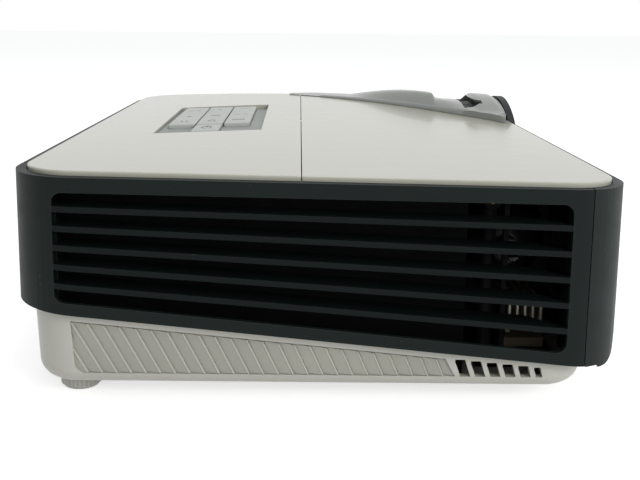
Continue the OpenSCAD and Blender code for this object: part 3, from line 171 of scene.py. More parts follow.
def moulded(name, colour, rough, coat=0.0, grain=0.15, grain_size=0.0006, mottle=0.03, dust=0.0,
            shine=0.5):
    """Moulded plastic. The colour drifts by a small share over some centimetres,
    the gloss changes with faint smears, a fine grain bends the surface, and
    a share of dust lays paler specks on it."""
    skin, add, spot = new_skin(name)
    drift = add("TexNoise", Vector=spot, Scale=22.0, Detail=3.0)
    tone = blended(add, drift, tint(colour, 1 - mottle), tint(colour, 1 + mottle))
    if dust:
        speck = add("TexNoise", Vector=spot, Scale=900.0, Detail=1.0)
        share = add("MapRange", Value=speck, From_Min=0.76, From_Max=0.81, To_Max=dust)
        tone = blended(add, share, tone, tint((0.45, 0.45, 0.43)))
    smear = add("TexNoise", Vector=spot, Scale=60.0, Detail=5.0, Distortion=1.2)
    gloss = add("MapRange", Value=smear, To_Min=rough * 0.82, To_Max=min(1.0, rough * 1.25))
    fine = add("TexNoise", Vector=spot, Scale=1.0 / grain_size, Detail=2.0)
    return finished(skin, add, tone, gloss, fine, grain, Coat_Weight=coat, Coat_Roughness=0.06,
                    Specular_IOR_Level=shine)


def place(mesh, name, body, slot_name, skin, *stands_for, edge=0.0, steps=2, facet=35.0,
          edge_skin=None):
    """Puts a finished mesh on its body with its finish. The CAD nodes it stands for
    are hidden, and edges sharper than the facet angle are rounded by a small radius,
    with a paler skin of their own where one is given: a painted highlight on the edges."""
    piece = bpy.data.objects.new(name, mesh)
    bpy.context.scene.collection.objects.link(piece)
    mesh.materials.clear()
    mesh.materials.append(skin)
    mesh.shade_smooth()
    mesh.set_sharp_from_angle(angle=math.radians(facet))
    if edge:
        rounding = piece.modifiers.new("rounding", "BEVEL")
        rounding.width = edge
        rounding.segments = steps
        rounding.limit_method = "ANGLE"
        rounding.angle_limit = math.radians(facet)
        rounding.harden_normals = True
        if edge_skin:
            mesh.materials.append(edge_skin)
            rounding.material = 1
    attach(piece, body)
    if stands_for:
        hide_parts(*stands_for)
    return piece


def merged_copy(node, name):
    """A copy of a CAD node's mesh, its doubled points merged and its flat triangles joined."""
    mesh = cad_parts[node].data.copy()
    mesh.name = name
    work = bmesh.new()
    work.from_mesh(mesh)
    bmesh.ops.remove_doubles(work, verts=work.verts, dist=2e-6)
    bmesh.ops.dissolve_limit(work, angle_limit=math.radians(0.4), verts=work.verts,
                             edges=work.edges)
    work.to_mesh(mesh)
    work.free()
    return mesh


def moulding(node, name, body, slot_name, skin, edge=0.0003, **finish):
    """A moulding of a CAD node's shape whose sharp edges are rounded as moulded ones are."""
    return place(merged_copy(node, name), name, body, slot_name, skin, node, edge=edge, **finish)


def grid_shell(x, y, z, wrap=False):
    """The points of a grid, from its three coordinates, and the four-cornered faces between
    them. Its columns are joined round, and its rows too where it wraps."""
    x, y, z = np.broadcast_arrays(x, y, z)
    rows, columns = x.shape
    row, column = np.meshgrid(np.arange(rows if wrap else rows - 1), np.arange(columns),
                              indexing="ij")
    below, beside = (row + 1) % rows, (column + 1) % columns
    faces = [row * columns + column, below * columns + column,
             below * columns + beside, row * columns + beside]
    return np.stack([x, y, z], -1).reshape(-1, 3), np.stack(faces, -1).reshape(-1, 4)


def solid_mesh(name, *shells):
    """A mesh in metres from shells of points in millimetres and their faces. Points that
    meet at a pole or a seam are merged, and every face is turned outwards."""
    spots, faces, count = [], [], 0
    for shell_spots, shell_faces in shells:
        spots.append(shell_spots)
        faces.append(shell_faces + count)
        count += len(shell_spots)
    mesh = bpy.data.meshes.new(name)
    mesh.from_pydata((np.concatenate(spots) * 0.001).tolist(), [], np.concatenate(faces).tolist())
    work = bmesh.new()
    work.from_mesh(mesh)
    bmesh.ops.remove_doubles(work, verts=work.verts, dist=1e-7)
    bmesh.ops.dissolve_degenerate(work, dist=1e-8, edges=work.edges)
    bmesh.ops.recalc_face_normals(work, faces=work.faces)
    work.to_mesh(mesh)
    work.free()
    return mesh


def solid(name, body, slot_name, skin, shells, *stands_for, **finish):
    """A piece made of shells, put on its body with its finish."""
    return place(solid_mesh(name, *shells), name, body, slot_name, skin, *stands_for, **finish)


def rounded_outline(half_x, half_y, radius, steps=8, sides=1):
    """Points round a rectangle whose corners are quarter circles, with steps to a corner
    and the sides divided evenly."""
    quarter = np.arange(4)[:, None]
    turn = (quarter + np.linspace(0, 1, steps)[None]) * np.pi / 2
    middle = quarter * np.pi / 2 + np.pi / 4
    x = np.sign(np.cos(middle)) * (half_x - radius) + radius * np.cos(turn)
    y = np.sign(np.sin(middle)) * (half_y - radius) + radius * np.sin(turn)
    corners = np.stack([x, y], -1)
    if sides == 1:
        return corners.reshape(-1, 2)
    share = np.linspace(0, 1, sides + 1)[1:-1, None]
    runs = corners[:, -1:] + (np.roll(corners, -1, 0)[:, :1] - corners[:, -1:]) * share
    return np.concatenate([corners, runs], 1).reshape(-1, 2)


def cut_mesh(mesh, *shells, keep="DIFFERENCE"):
    """The mesh with closed shells cut out of it, or only what it shares with them."""
    body = bpy.data.objects.new("cut_body", mesh)
    cutter = bpy.data.objects.new("cutter", solid_mesh("cutter", *shells))
    for thing in (body, cutter):
        bpy.context.scene.collection.objects.link(thing)
    cut = body.modifiers.new("cut", "BOOLEAN")
    cut.operation, cut.solver, cut.object = keep, "EXACT", cutter
    view = bpy.context.evaluated_depsgraph_get()
    result = bpy.data.meshes.new_from_object(body.evaluated_get(view))
    for thing in (body, cutter):
        bpy.data.objects.remove(thing)
    return result


BASE_ENDS, BASE_SIDE, BASE_FLOOR = (-113.8, 107.6), -153.5, 7.0
FLOOR_BEND, BASE_CORNER, END_LEAN, LEAN_HIGH = 6.5, 19.5, 1.6, 33
BELT_LOW, BELT_FALL = 28.2, 0.0955
HATCH_LOW, HATCH_END, HATCH_CORNER, HATCH_DEEP, HATCH_GAP = 12.2, -95.7, 4, 1.9, 4.1
GROOVES, PITCH, FIRST_GROOVE, GROOVE_GAP = 24, 6.148, -94.5, 4.8
VENTS, VENT_WIDE, LAST_VENT_WIDE = 6, 4.0, 2.6
OUTSIDE, INSIDE = -160, -149


def base_hull():
    """Rings of the base's outside from its floor up: the outline draws in by a quarter
    circle at the floor, and its two ends lean in towards the floor."""
    bend = np.linspace(0, np.pi / 2, 10)
    inset = np.concatenate([[FLOOR_BEND], FLOOR_BEND * (1 - np.sin(bend)), [0, 0, 0]])
    height = BASE_FLOOR + np.concatenate([[0], FLOOR_BEND * (1 - np.cos(bend)),
                                          [LEAN_HIGH, 45, 45]])
    scale = np.array([0] + [1] * 12 + [0])
    half_x = (BASE_ENDS[1] - BASE_ENDS[0]) / 2
    rings = np.stack([rounded_outline(half_x - d, -BASE_SIDE - d, BASE_CORNER - d, 16)
                      for d in inset])
    lean = END_LEAN * np.clip(1 - (height - BASE_FLOOR) / LEAN_HIGH, 0, 1)
    x = rings[..., 0] * (1 - lean / half_x)[:, None] * scale[:, None] + sum(BASE_ENDS) / 2
    return grid_shell(x, rings[..., 1] * scale[:, None], height[:, None])


def prism(outline, start, end, upright=False):
    """An outline in X and Z carried along Y, or an upright one in X and Y carried along Z,
    from one level to another and closed at both ends."""
    flat = np.array(outline, float)
    middle = np.repeat(flat.mean(0)[None], len(flat), 0)
    x, over = np.moveaxis(np.stack([middle, flat, flat, middle]), -1, 0)
    level = np.array([start, start, end, end])[:, None]
    return grid_shell(x, over, level) if upright else grid_shell(x, level, over)


def closed_band(top, under):
    """A band between two grids of points: each loop runs out along one and back along the
    other, and both ends are closed half way between them."""
    loops = np.concatenate([top, under[:, ::-1]], 1)
    ends = 0.5 * (loops + np.concatenate([under, top[:, ::-1]], 1))
    return grid_shell(*np.moveaxis(np.concatenate([ends[:1], loops, ends[-1:]]), -1, 0))


def belt_low(x):
    """Height of the belt's lower edge, which falls in a straight line towards the lens."""
    return BELT_LOW - BELT_FALL * x


def groove_line(s):
    """Top and run of a slanting groove line: the slant goes from 30 to 20 degrees."""
    top_x = FIRST_GROOVE + PITCH * s
    top_z = belt_low(top_x) - GROOVE_GAP
    return top_x, top_z, (top_z - HATCH_LOW - 0.5) * np.tan(np.radians(30 - s / 3))


def groove_strip(first, last, steps, depths):
    """A strip down the sunk panel between two groove counts: its depth follows the given
    values across the strip, and each of its lines leans as the grooves do."""
    s = (first + (last - first) * np.array(steps, float))[:, None]
    t = np.linspace(0, 1, 7)[None]
    top_x, top_z, run = groove_line(s)
    x = np.maximum(top_x + run * t, HATCH_END)
    z = top_z + (HATCH_LOW + 0.2 - top_z) * t
    front, back = [np.stack([x, BASE_SIDE + depth + 0 * x, z], -1)
                   for depth in (np.array(depths, float)[:, None], 2.2)]
    return closed_band(front, back)


white_satin = moulded("white_satin", (0.58, 0.575, 0.515), 0.36, grain=0.08, dust=0.08, shine=0.35)
bend = np.linspace(np.pi, 1.5 * np.pi, 8)
hatch = np.stack([HATCH_END + 5 + HATCH_CORNER * np.cos(bend),
                  HATCH_LOW + HATCH_CORNER + HATCH_CORNER * np.sin(bend)], -1).tolist()
hatch += [(53.35, HATCH_LOW), (49.35, belt_low(49.35) - HATCH_GAP),
          (HATCH_END, belt_low(HATCH_END) - HATCH_GAP)]
vents = []
for k in range(VENTS):
    top_x, top_z, run = groove_line(GROOVES + k)
    wide = VENT_WIDE if k < VENTS - 1 else LAST_VENT_WIDE
    vents.append([(top_x, top_z + 0.8), (top_x + wide, top_z + 0.8),
                  (top_x + wide + run, HATCH_LOW - 0.1), (top_x + run, HATCH_LOW - 0.1)])
base_mesh = cut_mesh(merged_copy("base_tray", "base"), base_hull(), keep="INTERSECT")
base_mesh = cut_mesh(base_mesh, prism(hatch, OUTSIDE, BASE_SIDE + HATCH_DEEP),
                     *[prism(vent, OUTSIDE, INSIDE) for vent in vents])
place(base_mesh, "base_moulding", "case", "white_base", white_satin, "base_tray", edge=0.00025)
# Painted shade: the groove faces are a darker copy of the base's white, for the shade in the sunk
# grooves; the ridges keep the base's own white.
groove_painted_shade = moulded("groove_painted_shade", (0.455, 0.45, 0.395), 0.5, grain=0.1, mottle=0.08,
                       shine=0.25)
for name, first, last, steps, depths, skin, facet in (
        ("groove_faces", -0.10, 0.80, (0, 0.04, 0.5, 1), (1.8, 1.5, 0.95, 0.5), groove_painted_shade, 25),
        ("groove_ridges", 0.77, 0.90, (0, 0.2, 0.5, 0.8, 1), (0.6, 0.28, 0.2, 0.3, 1.7),
         white_satin, 40)):
    strips = [groove_strip(k + first, k + last, steps, depths) for k in range(-2, GROOVES)]
    solid(name, "case", "white_base", skin, strips, facet=facet)
moulding("lamp_door", "lamp_door_moulding", "case", "white_base", white_satin)

# ----------------------------------------
# Slate belt: the dark band round the case with its fanned louvres, the front
# bezel, the tray's front and the buttons, moulded in one slate plastic. Its copy
# on the bezel is painted lighter for the light from the right, and its copy on
# the louvre blades is painted darker as painted shade.

slate_grain = {"grain": 0.25, "grain_size": 0.0005, "mottle": 0.06, "dust": 0.12}
slate = moulded("slate", (0.0088, 0.0135, 0.0125), 0.46, shine=0.12, **slate_grain)
# Painted highlight: a paler slate laid on the rounded edges of the belt, louvres and tray front.
slate_edge_highlight = moulded("slate_edge_highlight", (0.042, 0.052, 0.049), 0.35, grain=0.25, mottle=0.1, shine=0.3)
# Painted light: the bezel's slate is a lighter copy of the belt's, for the light falling on it
# from the right.
bezel_slate = moulded("bezel_slate", (0.0125, 0.0175, 0.0165), 0.46, shine=0.16, **slate_grain)
# Painted shade: the louvre blades' slate is a darker copy of the belt's, for the shade between the
# slats.
louvre_slate = moulded("louvre_slate", (0.0055, 0.0085, 0.0082), 0.40, shine=0.09, **slate_grain)
moulding("side_belt", "belt_moulding", "case", "belt_slate", slate, 0.0004, edge_skin=slate_edge_highlight)
moulding("front_bezel", "bezel_moulding", "case", "bezel_slate", bezel_slate, 0.0006, steps=3)
for node, name in (("side_grille", "louvre_blades"), ("intake_grille", "intake_blades")):
    moulding(node, name, "case", "louvre_slate", louvre_slate, 0.00035, edge_skin=slate_edge_highlight)
moulding("tray_front", "tray_front_panel", "disc_tray", "bezel_slate", slate, 0.0004,
         edge_skin=slate_edge_highlight)
moulding("eject_button", "eject_key", "eject_button", "bezel_slate", slate, 0.0004)
moulding("leg_button", "leg_release", "leg_button", "bezel_slate", slate, 0.0005)

# ----------------------------------------
# Silver bridge: one plastic moulding in silver paint that clips over the lens.
# Its near edge has a narrow flat lip, then it swells to a hump and an arch.


def metallic_paint(name, colour, rough):
    """Silver paint: fine flakes tilt the surface and lift its brightness in specks."""
    skin, add, spot = new_skin(name)
    flakes = add("TexVoronoi", Vector=spot, Scale=3500.0)
    tone = blended(add, flakes.outputs["Color"], tint(colour, 0.88), tint(colour, 1.12))
    cloud = add("TexNoise", Vector=spot, Scale=55.0, Detail=4.0)
    gloss = add("MapRange", Value=cloud, To_Min=rough * 0.85, To_Max=rough * 1.2)
    return finished(skin, add, tone, gloss, flakes, 0.12, 0.00008, Metallic=0.45,
                    Coat_Weight=0.3, Coat_Roughness=0.1)


def rise(t):
    """Smooth step from 0 to 1: three t squared less two t cubed, level at both ends."""
    u = np.clip(t, 0, 1)
    return u * u * (3 - 2 * u)


NEAR_HIGH, NEAR_FALL, FAR_HIGH, FAR_BOW, CASE_HALF = 90.9, 0.015, 94.5, 0.00026, 159


def cover_height(x, y):
    """Height of the crowned cover: straight across from its near edge, which falls evenly
    towards the lens, to its far edge, which bows down both ways as a square."""
    near, far = NEAR_HIGH - NEAR_FALL * x, FAR_HIGH - FAR_BOW * (x + 20) ** 2
    return near + (far - near) * (y + CASE_HALF) / (2 * CASE_HALF)


LENS = (0.0, 82.0, 60.0)
BRIDGE_TIP, BRIDGE_END, BRIDGE_FRONT, BRIDGE_FAR = -14.8, 109.3, 114.6, 153.1
LIP_WIDE, BEAD_WIDE, EDGE_RISE, HUMP_HIGH, ARCH_HIGH, SADDLE_HIGH = 3.4, 2.9, 2.9, 9.8, 11.6, 6.6


def bridge_near(share):
    """Y of the bridge's near edge: it swings out along a cubic from its tip to its end."""
    return BRIDGE_FAR - 7.5 - 55 * share - 43 * share ** 2 - 21 * share ** 3


def bridge_shell():
    """The bridge as loops along its length. Each loop runs back over the top surface and
    returns under it. The top is a quarter ellipse along the near edge and a fine groove,
    then the crest's height times one less the squared distance from it, to a power."""
    length = BRIDGE_END - BRIDGE_TIP
    share = np.linspace(0, 1, 140)
    along = BRIDGE_TIP + length * share
    near = bridge_near(share)
    edge_rows = np.array([0, 0.08, 0.2, 0.4, 0.7, 1.1, 1.6, 2.1, 2.6, 3.0, 3.4, 3.7, 4.1, 4.6])
    rest = np.linspace(0, 1, 47)[1:] ** 1.25
    start = edge_rows[-1]
    away = np.concatenate([np.repeat(edge_rows[None], len(along), 0),
                           start + (BRIDGE_FAR - near - start)[:, None] * rest], 1)
    y = near[:, None] + away
    bow = np.clip((y - near[-1]) / 28, 0, 1)
    front = BRIDGE_END + (BRIDGE_FRONT - BRIDGE_END) * (1 - (1 - bow) ** 1.6)
    x = along[:, None] + (front - BRIDGE_END) * rise((share[:, None] - 0.8) / 0.2)
    u = (x - BRIDGE_TIP) / length
    near = bridge_near(u)
    edge = 1 + EDGE_RISE * rise(u)
    swelling = np.sin(np.pi / 2 * np.clip((x - 21.2) / 54.8, 0, 1))
    hump = HUMP_HIGH * swelling * (1 - rise((x - 76) / 6))
    arch = ARCH_HIGH - 1.8 * rise((x - BRIDGE_END - 0.5) / 5)
    saddle = SADDLE_HIGH * rise((x - 56) / 20)
    crest = np.maximum(np.maximum(edge, hump), saddle + (arch - saddle) * rise((x - 96.8) / 4.5))
    middle = np.maximum(LENS[1], near + 18)
    reach = np.where(y < middle, np.minimum(middle - near, 36) - LIP_WIDE,
                     np.minimum(BRIDGE_FAR - middle, 43.2))
    swell = (1 - np.clip(np.abs(y - middle) / reach, 0, 1) ** 2) ** 1.2
    bead = np.sqrt(1 - (1 - np.clip((y - near) / BEAD_WIDE, 0, 1)) ** 2)
    groove = 0.3 * np.exp(-((y - near - LIP_WIDE) / 0.45) ** 2)
    lip_height = edge * (0.3 + 0.7 * bead) - groove * edge / (1 + EDGE_RISE)
    base = lip_height + (0.5 - lip_height) * rise((y - middle) / (BRIDGE_FAR - middle))
    ground = cover_height(x, y)
    top = np.stack([x, y, ground + base + (crest - base) * swell], -1)
    return closed_band(top, np.stack([x, y, ground + 0.16], -1))


def box_shell(low, high):
    """The eight corners and six faces of an upright box."""
    corner = np.array([[i, j, k] for i in (0, 1) for j in (0, 1) for k in (0, 1)], float)
    faces = [(0, 1, 3, 2), (4, 6, 7, 5), (0, 4, 5, 1), (2, 3, 7, 6), (0, 2, 6, 4), (1, 5, 7, 3)]
    return np.array(low) + corner * (np.array(high) - np.array(low)), np.array(faces)


silver_paint = metallic_paint("silver_paint", (0.24, 0.25, 0.235), 0.28)
ring_slot = box_shell((92.2, 60.0, 60.0), (102.8, 104.0, 99.4))
place(cut_mesh(solid_mesh("bridge_top", bridge_shell()), ring_slot), "bridge_moulding", "case",
      "bridge_silver", silver_paint, "lens_bridge", facet=32)

# ----------------------------------------
# Polished top covers: two white shells with a crowned skin and a turned down
# lip, clipped into the belt's rim, split by an open joint, and cut out for the
# keypad, the lens rings and the hood.

white_polished = moulded("white_polished", (0.48, 0.475, 0.395), 0.20, coat=0.25, grain=0.003,
                         mottle=0.015, shine=0.35)
COVER_HALF_X, COVER_HALF_Y, COVER_CORNER, COVER_THICK, COVER_LIP = 114.9, 154.6, 20.6, 2.4, 5.0
LIP_WALL, SHOULDER = 2.2, 0.7
PAD_X, PAD_Y, PAD_SKEW = -53.3, 16.0, 0.35


def cover_shell():
    """The whole cover as rings, from the middle of its underside out to the lip, round
    the lip's rounded shoulder, and in over the crowned top to the middle."""
    bend = np.linspace(0, np.pi / 2, 10)
    inset = np.concatenate([[LIP_WALL] * 6, [0.3, 0, 0], SHOULDER * (1 - np.cos(bend)),
                            [SHOULDER] * 12])
    scale = np.concatenate([[0, 0.3, 0.6, 0.8, 1, 1], [1] * 13, np.linspace(0.97, 0, 12)])
    drop = np.concatenate([[COVER_THICK] * 5, [COVER_LIP] * 2, [COVER_LIP - 0.4, SHOULDER],
                           SHOULDER * (1 - np.sin(bend)), [0] * 12])
    rings = np.stack([rounded_outline(COVER_HALF_X - d, COVER_HALF_Y - d, COVER_CORNER - d, 20,
                                      24) * s for d, s in zip(inset, scale)])
    x, y = rings[..., 0], rings[..., 1]
    return grid_shell(x, y, cover_height(x, y) - drop[:, None])


def pad_outline(half_x=26.0, half_y=57.0):
    """The keypad's four corners: upright sides, with both ends on its skew."""
    return [(PAD_X + i * half_x, PAD_Y + j * half_y + i * half_x * PAD_SKEW)
            for i, j in ((-1, -1), (1, -1), (1, 1), (-1, 1))]


def turned(profile, centre, axis, sides=96, closed=False, flute=None):
    """A profile of (distance along an axis, radius) pairs carried round that axis: point =
    centre + distance * ahead + radius * (cos(turn) * side + sin(turn) * up). A flute
    function may change the radius with the distance and the turn."""
    along, radius = np.array(profile, float).T
    turn = np.arange(sides) * 2 * np.pi / sides
    reach = np.repeat(radius[:, None], sides, 1)
    if flute is not None:
        reach = flute(along[:, None], reach, turn[None])
    ahead, side, up = np.roll(np.eye(3), -"xyz".index(axis), 0)
    spots = (np.array(centre, float) + along[:, None, None] * ahead
             + (reach * np.cos(turn))[..., None] * side + (reach * np.sin(turn))[..., None] * up)
    return grid_shell(*np.moveaxis(spots, -1, 0), wrap=closed)


def crowned_shading(piece):
    """Shades the crowned top by its own slope: at each corner of an upward face the normal
    is the height's fall along X and along Y, and one up."""
    def read(items, key, width=3, kind=float):
        values = np.empty(len(items) * width, kind)
        items.foreach_get(key, values)
        return values.reshape(-1, width)

    mesh = piece.data
    normals = read(mesh.corner_normals, "vector")
    facing = read(mesh.polygons, "normal")
    sides = read(mesh.polygons, "loop_total", 1, int)[:, 0]
    corner = read(mesh.loops, "vertex_index", 1, int)[:, 0]
    x, y = read(mesh.vertices, "co")[corner, :2].T * 1000
    fall_x = cover_height(x - 0.5, y) - cover_height(x + 0.5, y)
    fall_y = cover_height(x, y - 0.5) - cover_height(x, y + 0.5)
    slope = np.stack([fall_x, fall_y, np.ones_like(x)], -1)
    slope /= np.linalg.norm(slope, axis=1, keepdims=True)
    upward = np.repeat(facing[:, 2] > 0.985, sides)
    normals[upward] = slope[upward]
    mesh.normals_split_custom_set(normals.tolist())


REAR_EDGE, FRONT_EDGE, HOOD_BACK, HOOD_RADIUS, PAST = -7.3, -6.9, 106.9, 35.3, 200
hood_hole = turned([(HOOD_BACK, 0.0), (HOOD_BACK, HOOD_RADIUS), (130.0, HOOD_RADIUS),
                    (130.0, 0.0)], LENS, "x")
covers = {
    "rear": [box_shell((REAR_EDGE, -PAST, 0), (PAST, PAST, PAST)),
             prism(pad_outline(), 60, 120, upright=True)],
    "front": [box_shell((-PAST, -PAST, 0), (FRONT_EDGE, PAST, PAST)),
              box_shell((89.0, 69, 0), (107.0, 95, PAST)),
              box_shell((92.0, 56, 0), (103.3, 108, PAST)), hood_hole],
}
for end, cutters in covers.items():
    cover = solid_mesh("whole_cover", cover_shell())
    for cutter in cutters:
        cover = cut_mesh(cover, cutter)
    crowned_shading(place(cover, end + "_cover", "case", "white_cover", white_polished,
                          "top_cover_" + end, facet=40))

# ----------------------------------------
# Keypad: a sunk cool grey panel with three long keys and a power key, each a
# separate pale moulding on a rubber dome, with small printed signs on top.

keypad_grey = moulded("keypad_grey", (0.255, 0.27, 0.255), 0.42, grain=0.1, shine=0.35)
key_white = moulded("key_white", (0.46, 0.48, 0.45), 0.36, grain=0.1, shine=0.4)
key_ink = moulded("key_ink", (0.11, 0.115, 0.11), 0.6, grain=0.1)
KEY_TOP, KEY_DEEP, KEY_WIDE, KEY_CORNER, KEY_ROUND = 93.213, 4.1, 13.4, 1.2, 0.7
FIRST_KEY, KEY_STEP, POWER_KEY, POWER_LOW, INK = -69.6, 14.1, -55.5, 0.3, 0.02


def on_pad(rings, heights, middle_x, middle, wrap=False):
    """Rings set on the keypad at their heights, each shifted along Y by the pad's skew."""
    x = middle_x + rings[..., 0]
    y = middle + PAD_Y + rings[..., 1] + (x - PAD_X) * PAD_SKEW
    return grid_shell(x, y, np.array(heights)[:, None], wrap)


def key_shell(middle_x, start, end, top):
    """A key as rings: upright sides, a rounded shoulder that draws in by a quarter
    circle, and a flat top closed at its middle."""
    bend = np.linspace(0, np.pi / 2, 6)
    rings = [rounded_outline(KEY_WIDE / 2 - d, (end - start) / 2 - d, KEY_CORNER - d)
             for d in [0, *KEY_ROUND * (1 - np.cos(bend))]]
    rings = np.stack([rings[0] * 0.0, *rings, rings[-1] * 0.5, rings[-1] * 0.0])
    low = KEY_TOP - KEY_DEEP
    heights = [low, low, *top - KEY_ROUND + KEY_ROUND * np.sin(bend), top, top]
    return on_pad(rings, heights, middle_x, (start + end) / 2)


def printed_sign(outline, middle_x, middle, top, hollow=0.0):
    """A sign of thin ink: an outline joined to itself drawn in to a hollow share."""
    outer = np.array(outline, float)
    rings = np.stack([outer * hollow, outer, outer, outer * hollow])
    heights = [top - INK, top - INK, top + INK, top + INK]
    return on_pad(rings, heights, middle_x, middle, wrap=hollow > 0)


def bar(half_x, half_y):
    """The four corners of a printed bar."""
    return [(-half_x, -half_y), (half_x, -half_y), (half_x, half_y), (-half_x, half_y)]


moulding("keypad_panel", "keypad_plate", "case", "keypad_grey", keypad_grey, 0.0002)
up = [(-1.3, -1.6), (1.3, -1.6), (0, 2.2)]
down = [(-1.3, 1.6), (0, -2.2), (1.3, 1.6)]
dash, line, stroke = bar(1.6, 0.5), bar(2.6, 0.45), bar(0.45, 2.4)
turn = np.arange(24) * np.pi / 12
circle = np.stack([np.cos(turn), 1.7 * np.sin(turn)], -1)
long_signs = {
    "key_left": [(stroke, -1.2, -16), (stroke, 1.2, -16), (up, 0, 8), (dash, -2.5, 36),
                 (dash, 2.5, 36)],
    "key_middle": [(circle * 2.0, 0, -15, 0.68), (line, 0, 7), (line, 0, 10), (down, 0, 40)],
    "key_right": [(circle * 1.6, -1.8, -14, 0.6), (circle * 1.6, 1.8, -14, 0.6), (dash, -2.6, 12),
                  (dash, 2.6, 12), (line, 0, 42)],
}
for k, (key, signs) in enumerate(long_signs.items()):
    key_x = FIRST_KEY + KEY_STEP * k
    solid(key + "_cap", key, "key_white", key_white, [key_shell(key_x, -29, 54, KEY_TOP)], key,
          facet=60)
    marks = [printed_sign(shape, key_x + dx, dy, KEY_TOP, *hollow)
             for shape, dx, dy, *hollow in signs]
    solid(key + "_signs", key, "keypad_grey", key_ink, marks, facet=20)
power_top = KEY_TOP - POWER_LOW
solid("power_key_cap", "power_key", "key_white", key_white,
      [key_shell(POWER_KEY, -55, -30, power_top)], "power_key", facet=60)
solid("power_signs", "power_key", "keypad_grey", key_ink,
      [printed_sign(circle * 2.6, POWER_KEY, -42, power_top, 0.76),
       printed_sign(stroke, POWER_KEY, -38, power_top)], facet=20)

# ----------------------------------------
# Lens: a black barrel with stepped baffles, a coated glass at its mouth, and
# two ribbed rings for focus and zoom that turn on it in the arch's slot.


def clear_glass(name, colour, smudge, coating):
    """Polished glass with a tinted coating. Faint smudges roughen it here and there."""
    skin, add, spot = new_skin(name)
    cloud = add("TexNoise", Vector=spot, Scale=90.0, Detail=4.0)
    rough = add("MapRange", Value=cloud, From_Min=0.45, From_Max=0.75, To_Max=smudge)
    return finished(skin, add, tint(colour), rough, cloud, 0.004, IOR=1.52,
                    Transmission_Weight=1.0, Specular_Tint=tint(coating))


lens_black = moulded("lens_black", (0.012, 0.012, 0.013), 0.5, grain=0.2, shine=0.3)
ring_grey = moulded("ring_grey", (0.035, 0.038, 0.038), 0.5, grain=0.3, shine=0.3)
BAFFLES, BAFFLE_STEP = 12, 2.6
baffles = np.stack([np.repeat(109.0 - BAFFLE_STEP * np.arange(BAFFLES), 2),
                    np.tile([21.9, 21.0], BAFFLES)], -1)
barrel = [(71.2, 21.0), (71.2, 26.6), (71.6, 27.0), (90.0, 27.0), (90.0, 30.0), (92.8, 30.0),
          (92.8, 29.0), (101.8, 29.0), (101.8, 30.0), (103.8, 30.0), (103.8, 29.0), (115.7, 29.0),
          (116.3, 28.4), (116.3, 24.7), (115.8, 24.1), (109.3, 24.1), (109.3, 21.9), *baffles]
solid("barrel_turned", "case", "lens_black", lens_black, [turned(barrel, LENS, "x", 128, True)],
      "lens_barrel", facet=30)
curve = np.linspace(0, 1, 24)
dome = [(111.6 + 4.0 * (1 - (1 - c) ** 2), 23.9 * (1 - c)) for c in curve]
front_glass = [(109.4, 0.0), (109.4, 23.7), (109.6, 23.9), *dome]
solid("front_lens", "case", "lens_glass",
      clear_glass("coated_glass", (0.62, 0.68, 0.80), 0.015, (0.5, 0.6, 1.0)),
      [turned(front_glass, LENS, "x", 128)], "front_glass", facet=30)
RING_OUT, RIB_DEEP = 37.0, 0.7


def grip_ring(start, ribs):
    """A ring whose outer radius drops between ribs, in its middle rows only."""
    def flute(along, reach, turn):
        rib = rise((np.cos(turn * ribs) + 0.45) / 0.5)
        row = (reach > RING_OUT - 0.5) & (along > start + 0.7) & (along < start + 3.5)
        return np.where(row, reach - RIB_DEEP * (1 - rib), reach)

    profile = [(0.0, 29.08), (0.0, 36.7)]
    profile += [(row, RING_OUT) for row in (0.3, 0.8, 0.95, 2.1, 3.25, 3.4, 3.9)]
    profile += [(4.2, 36.7), (4.2, 29.08)]
    return turned([(start + a, r) for a, r in profile], LENS, "x", ribs * 8, True, flute)


for ring, start, ribs in (("focus", 97.4, 48), ("zoom", 93.0, 36)):
    solid(ring + "_grip", ring + "_ring", "ring_grey", ring_grey, [grip_ring(start, ribs)],
          ring + "_ring", facet=40)

# ----------------------------------------
# Light path: a cast housing that carries the lens, a colour wheel with dyed
# glass sectors on a small motor, and a window for the remote in the bezel.


def metal(name, colour, rough, brushed=(1, 1, 1), grain=0.1, scale=900.0, shine=1.0):
    """Bare metal. Noise stretched along one direction gives its brushing, and wide
    clouds change how dull it is."""
    skin, add, spot = new_skin(name)
    lines = add("TexNoise", Vector=add("Mapping", Vector=spot, Scale=brushed), Scale=scale,
                Detail=3.0)
    tone = blended(add, lines, tint(colour, 0.85), tint(colour, 1.1))
    cloud = add("TexNoise", Vector=spot, Scale=70.0, Detail=4.0)
    gloss = add("MapRange", Value=cloud, To_Min=rough * 0.75, To_Max=min(1.0, rough * 1.3))
    return finished(skin, add, tone, gloss, lines, grain, Metallic=shine)


def box_mm(node):
    """A CAD node's lowest and highest corners and its middle, in millimetres."""
    low, high = np.array(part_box(node))
    return low * 1000, high * 1000, (low + high) * 500


cast_metal = metal("cast_metal", (0.09, 0.095, 0.10), 0.55, grain=0.5, scale=1400.0, shine=0.8)
motor_steel = metal("motor_steel", (0.42, 0.42, 0.41), 0.32, brushed=(1, 8, 1))
moulding("light_engine", "engine_casting", "case", "engine_metal", cast_metal, 0.0006, steps=3)
moulding("wheel_motor", "wheel_motor_can", "case", "motor_metal", motor_steel)
wheel_profile = [(-0.75, 0.0), (-1.3, 0.4), (-1.3, 5.7), (-1.0, 6.0), (0.15, 6.0), (0.15, 20.8),
                 (0.35, 21.0), (1.05, 21.0), (1.25, 20.8), (1.25, 6.0), (1.35, 5.9), (1.35, 0.0)]
solid("filter_wheel", "colour_wheel", "wheel_glass",
      clear_glass("dyed_glass", (0.55, 0.45, 0.80), 0.05, (1.0, 0.7, 0.9)),
      [turned(wheel_profile, box_mm("colour_wheel")[2], "y")], "colour_wheel", facet=30)
